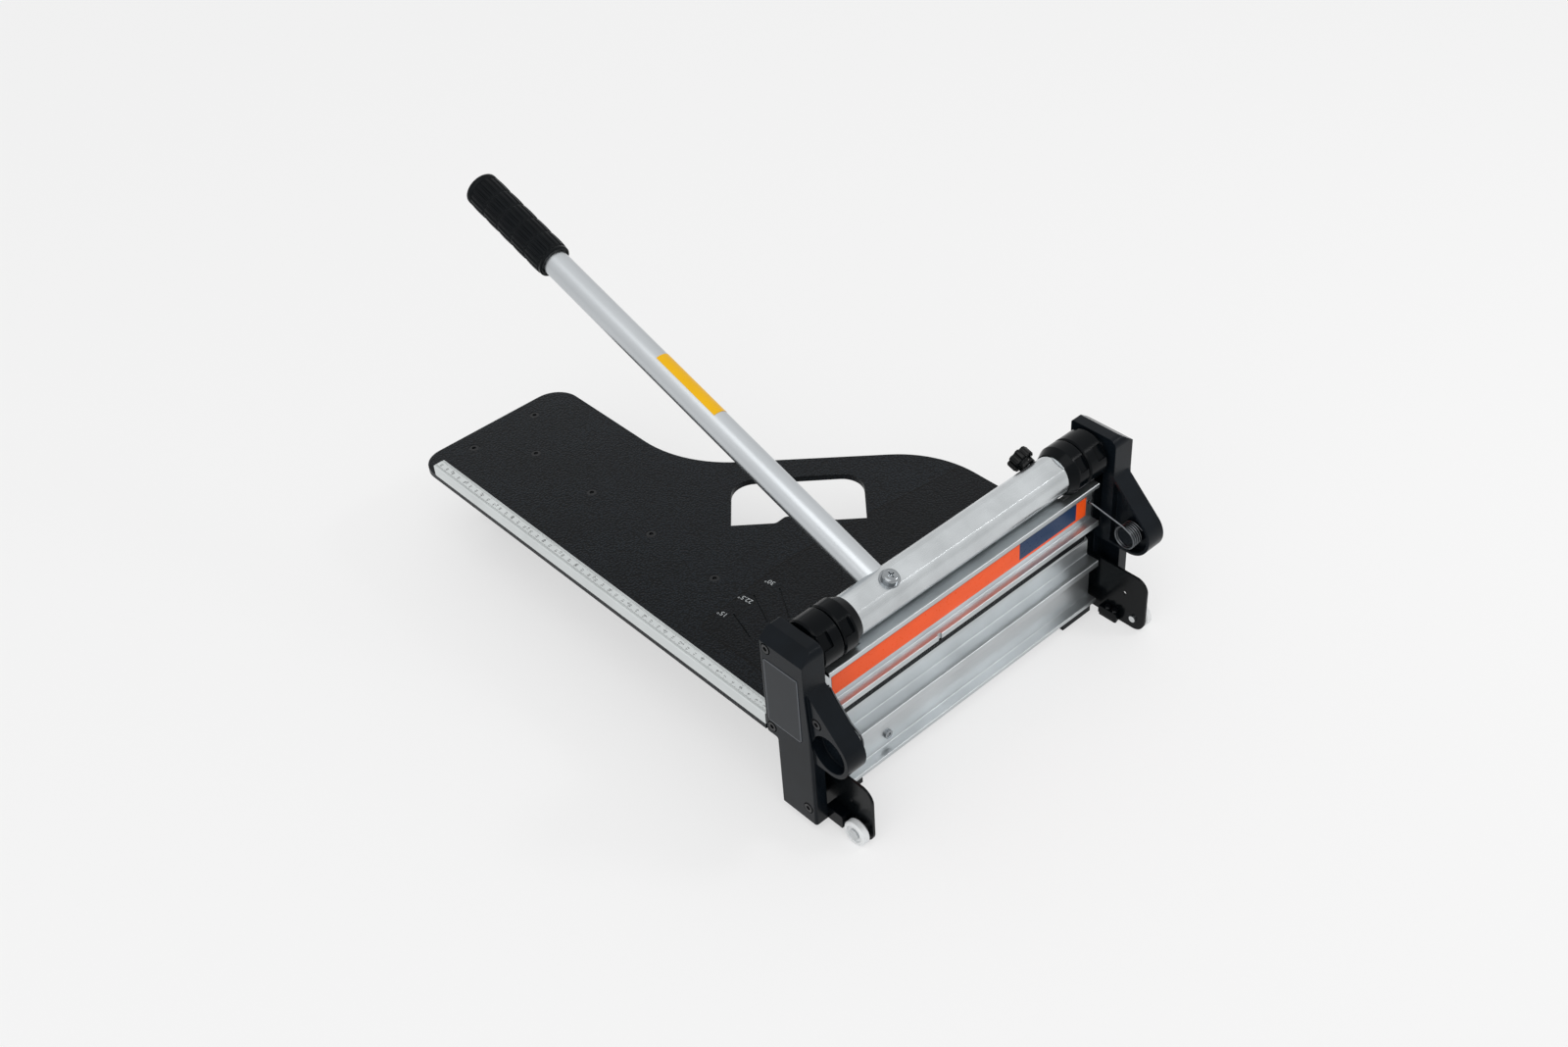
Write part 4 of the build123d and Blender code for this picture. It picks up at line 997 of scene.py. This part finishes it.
@dataclass
class RulerFence:
    """Fence bar with a centimetre row on its outer side and an inch row on its inner side."""

    dressing: Dressing
    head_y: float
    centimetre: float = 0.010
    centimetre_parts: int = 10
    inch: float = 0.0254
    inch_parts: int = 16
    last_centimetre_y: float = 0.513
    last_centimetre: int = 50
    tick_width: float = 0.00026
    full_tick: float = 0.0024
    half_tick: float = 0.0018
    short_tick: float = 0.0011
    figure_height: float = 0.0026
    figure_inset: float = 0.0038
    margin: float = 0.0022

    def scale_row(self, ink: Print, unit: float, parts: int, edge_x: float, side: int) -> None:
        """Print one row of ticks and figures.

        Tick number n stands n parts of the unit from zero. It is a full tick at each whole unit,
        a half tick at each half unit and a short one elsewhere.

        Args:
            ink: what it is printed with.
            unit: the unit's length.
            parts: ticks a unit.
            edge_x: where the ticks start.
            side: the direction that they run in along X, 1 or -1.
        """
        low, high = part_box("ruler_fence")
        zero = self.head_y + self.last_centimetre_y - self.last_centimetre * self.centimetre
        step = unit / parts
        first = math.ceil((low.y - zero) / step)
        last = math.floor((high.y - zero) / step)
        count = np.arange(first, last + 1)
        whole = count % parts == 0
        half = count % (parts // 2) == 0
        lengths = np.where(whole, self.full_tick, np.where(half, self.half_tick, self.short_tick))
        centres = np.stack([edge_x + side * lengths / 2, zero + count * step], axis=-1)
        ink.bars(centres, lengths, self.tick_width)
        for number in count[whole] // parts:
            place = (edge_x + side * self.figure_inset, zero + number * unit)
            ink.number(str(number), place, self.figure_height, 0.0)

    def scale(self) -> Object:
        """Print both rows on the bar's top."""
        low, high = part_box("ruler_fence")
        ink = Print(self.dressing.material(BLACK_INK), high.z, slot="black_screw")
        self.scale_row(ink, self.centimetre, self.centimetre_parts, low.x + self.margin, 1)
        self.scale_row(ink, self.inch, self.inch_parts, high.x - self.margin, -1)
        return ink.finish("ruler_scale")


@dataclass
class Head:
    """Badge and springs of the housings."""

    dressing: Dressing
    head_y: float

    def dress(self) -> None:
        """Finish the badge, with its border at its own edge."""
        low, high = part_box("left_badge")
        middle, half = (low + high) / 2, (high - low) / 2
        badge = replace(BADGE_SHEET, centre=(middle.y, middle.z), half_size=(half.y, half.z))
        self.dressing.dress(badge, "left_badge")

    def springs(self) -> list[Object]:
        """Make the springs."""
        return Springs(self.dressing.material(SPRING_WIRE), self.head_y).build()


def handle_pieces(dressing: Dressing) -> list[Object]:
    """Make the grip and the knob with their round edges, and the label."""
    made = ((HandleGrip, GRIP_RUBBER), (StarKnob, KNOB_BLACK), (TubeLabel, YELLOW_FILM))
    return [piece(dressing.material(finish)).build() for piece, finish in made]


@dataclass
class Studio:
    """Pale floor, soft light and the camera at the photograph's angle."""

    head_y: float
    floor_size: float = 40.0
    floor_gap: float = 0.0002
    floor_colour: str = "#f7f7f7"
    floor_roughness: float = 0.9
    # Share of its plain colour in what camera and metal see of the floor, so its shadow is faint
    paper_share: float = 0.6
    world_light: float = 0.64
    horizon_light: float = 0.78
    zenith_light: float = 0.95
    zenith_from: float = 0.9
    sun_light: float = 0.65
    sun_width: float = 50.0
    sun_turns: tuple = (18.0, -22.0, 0.0)
    aim_height: float = 0.12
    # Place, size and power of each softbox
    left_box: tuple = ((-2.9, -0.9, 1.35), (2.4, 1.5), 16.0)
    front_box: tuple = ((1.1, -0.95, 1.5), (0.45, 0.3), 5.0)
    # The camera's angles are degrees, and its place is from the head's middle in Y
    azimuth: float = -39.66
    elevation: float = 39.64
    roll: float = -4.62
    focal_share: float = 1.13463
    camera_x: float = -0.8445
    camera_y: float = -0.7922
    camera_z: float = 1.1683

    def looked_at(self, tree: NodeTree) -> NodeSocket:
        """Tell the rays of the camera, metal and glass from those that light a surface.

        Args:
            tree: the node tree of the floor or the world.

        Returns:
            The socket that is 1 for what is looked at and 0 for light.
        """
        rays = add_node(tree, "LightPath").outputs
        mirrored = calc(tree, "MAXIMUM", rays["Is Camera Ray"], rays["Is Glossy Ray"])
        return calc(tree, "MAXIMUM", mirrored, rays["Is Transmission Ray"])

    def floor(self) -> None:
        """Lay the floor at the object's lowest point."""
        half = self.floor_size / 2
        level = CAD_BOX[0][2] - self.floor_gap
        mesh = bpy.data.meshes.new("floor")
        corners = [(half * x, half * y, level) for x, y in ((-1, -1), (1, -1), (1, 1), (-1, 1))]
        mesh.from_pydata(corners, [], [(0, 1, 2, 3)])
        material = bpy.data.materials.new("studio_floor")
        material.use_nodes = True
        tree = material.node_tree
        shader = tree.nodes["Principled BSDF"]
        shader.inputs["Base Color"].default_value = linear(self.floor_colour)
        shader.inputs["Roughness"].default_value = self.floor_roughness
        shader.inputs["Specular IOR Level"].default_value = 0.0
        paper = add_node(tree, "Emission", {"Color": linear(self.floor_colour)})
        share = calc(tree, "MULTIPLY", self.looked_at(tree), self.paper_share)
        mixed = add_node(tree, "MixShader", {},
                         {"Fac": share, 1: shader.outputs["BSDF"], 2: paper.outputs["Emission"]})
        tree.links.new(mixed.outputs["Shader"], tree.nodes["Material Output"].inputs["Surface"])
        mesh.materials.append(material)
        stand("floor", mesh)

    def world(self) -> None:
        """Light evenly, and show camera, metal and glass a pale world that fades at the horizon."""
        world = bpy.data.worlds.new("studio")
        bpy.context.scene.world = world
        world.use_nodes = True
        tree = world.node_tree
        tree.nodes.clear()
        place = add_node(tree, "TexCoord")
        axes = add_node(tree, "SeparateXYZ", {}, {"Vector": place.outputs["Generated"]})
        graded = remap(tree, axes.outputs["Z"], (0.0, self.zenith_from),
                       (self.horizon_light, self.zenith_light))
        white = (1, 1, 1, 1)
        soft = add_node(tree, "Background", {"Color": white, "Strength": self.world_light})
        seen = add_node(tree, "Background", {"Color": white}, {"Strength": graded})
        mixed = add_node(tree, "MixShader", {},
                         {"Fac": self.looked_at(tree), 1: soft.outputs["Background"],
                          2: seen.outputs["Background"]})
        add_node(tree, "OutputWorld", {}, {"Surface": mixed.outputs["Shader"]})

    def softbox(self, name: str, place: tuple[float, float, float], size: tuple[float, float],
                energy: float) -> None:
        """Hang a soft rectangular lamp that looks at the head.

        Args:
            name: the lamp's name.
            place: where it hangs, from the head's middle in Y.
            size: its width and height.
            energy: its power in watts.
        """
        lamp = bpy.data.lights.new(name, "AREA")
        lamp.shape = "RECTANGLE"
        lamp.size, lamp.size_y = size
        lamp.energy = energy
        holder = stand(name, lamp)
        holder.location = place[0], place[1] + self.head_y, place[2]
        aim = Vector((0.0, self.head_y, self.aim_height)) - holder.location
        holder.rotation_euler = aim.to_track_quat("-Z", "Y").to_euler()

    def lamps(self) -> None:
        """Hang a wide soft sun, a long softbox on the left and a small one at the front right."""
        sun = bpy.data.lights.new("soft_sun", "SUN")
        sun.energy = self.sun_light
        sun.angle = math.radians(self.sun_width)
        holder = stand("soft_sun", sun)
        holder.rotation_euler = [math.radians(angle) for angle in self.sun_turns]
        self.softbox("left_softbox", *self.left_box)
        self.softbox("front_softbox", *self.front_box)

    def camera(self) -> None:
        """Place the camera from its azimuth, elevation and roll."""
        turn, lean, roll = (math.radians(a) for a in (self.azimuth, self.elevation, self.roll))
        forward = Vector((-math.sin(turn) * math.cos(lean), math.cos(turn) * math.cos(lean),
                          -math.sin(lean)))
        level = Vector((math.cos(turn), math.sin(turn), 0.0))
        upright = level.cross(forward)
        right = level * math.cos(roll) + upright * math.sin(roll)
        up = right.cross(forward)
        data = bpy.data.cameras.new("photo_camera")
        data.lens = data.sensor_width * self.focal_share
        data.clip_end = self.floor_size * 3 / 2
        camera = stand("photo_camera", data)
        turned = Matrix((right, up, -forward)).transposed().to_4x4()
        place = (self.camera_x, self.camera_y + self.head_y, self.camera_z)
        camera.matrix_world = Matrix.Translation(place) @ turned
        bpy.context.scene.camera = camera


def main() -> None:
    """Build the studio, dress the CAD nodes and add the scene's own pieces."""
    logging.basicConfig(level=logging.INFO, format="%(name)s: %(message)s")
    head_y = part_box("left_housing")[1].y - HOUSING_REACH
    bpy.context.scene.view_settings.view_transform = "Standard"
    studio = Studio(head_y)
    studio.floor()
    studio.world()
    studio.lamps()
    studio.camera()
    log.info("studio built round %s", [round(v, 4) for corner in CAD_BOX for v in corner])
    dressing = Dressing()
    for finish, *nodes in WORN:
        dressing.dress(finish, *nodes)
    plate, head = BasePlate(dressing, head_y), Head(dressing, head_y)
    plate.dress()
    head.dress()
    for piece in [*plate.foot(), plate.figures(), RulerFence(dressing, head_y).scale(),
                  *head.springs(), *handle_pieces(dressing)]:
        log.info("added %s", piece.name)


if __name__ == "__main__":
    main()
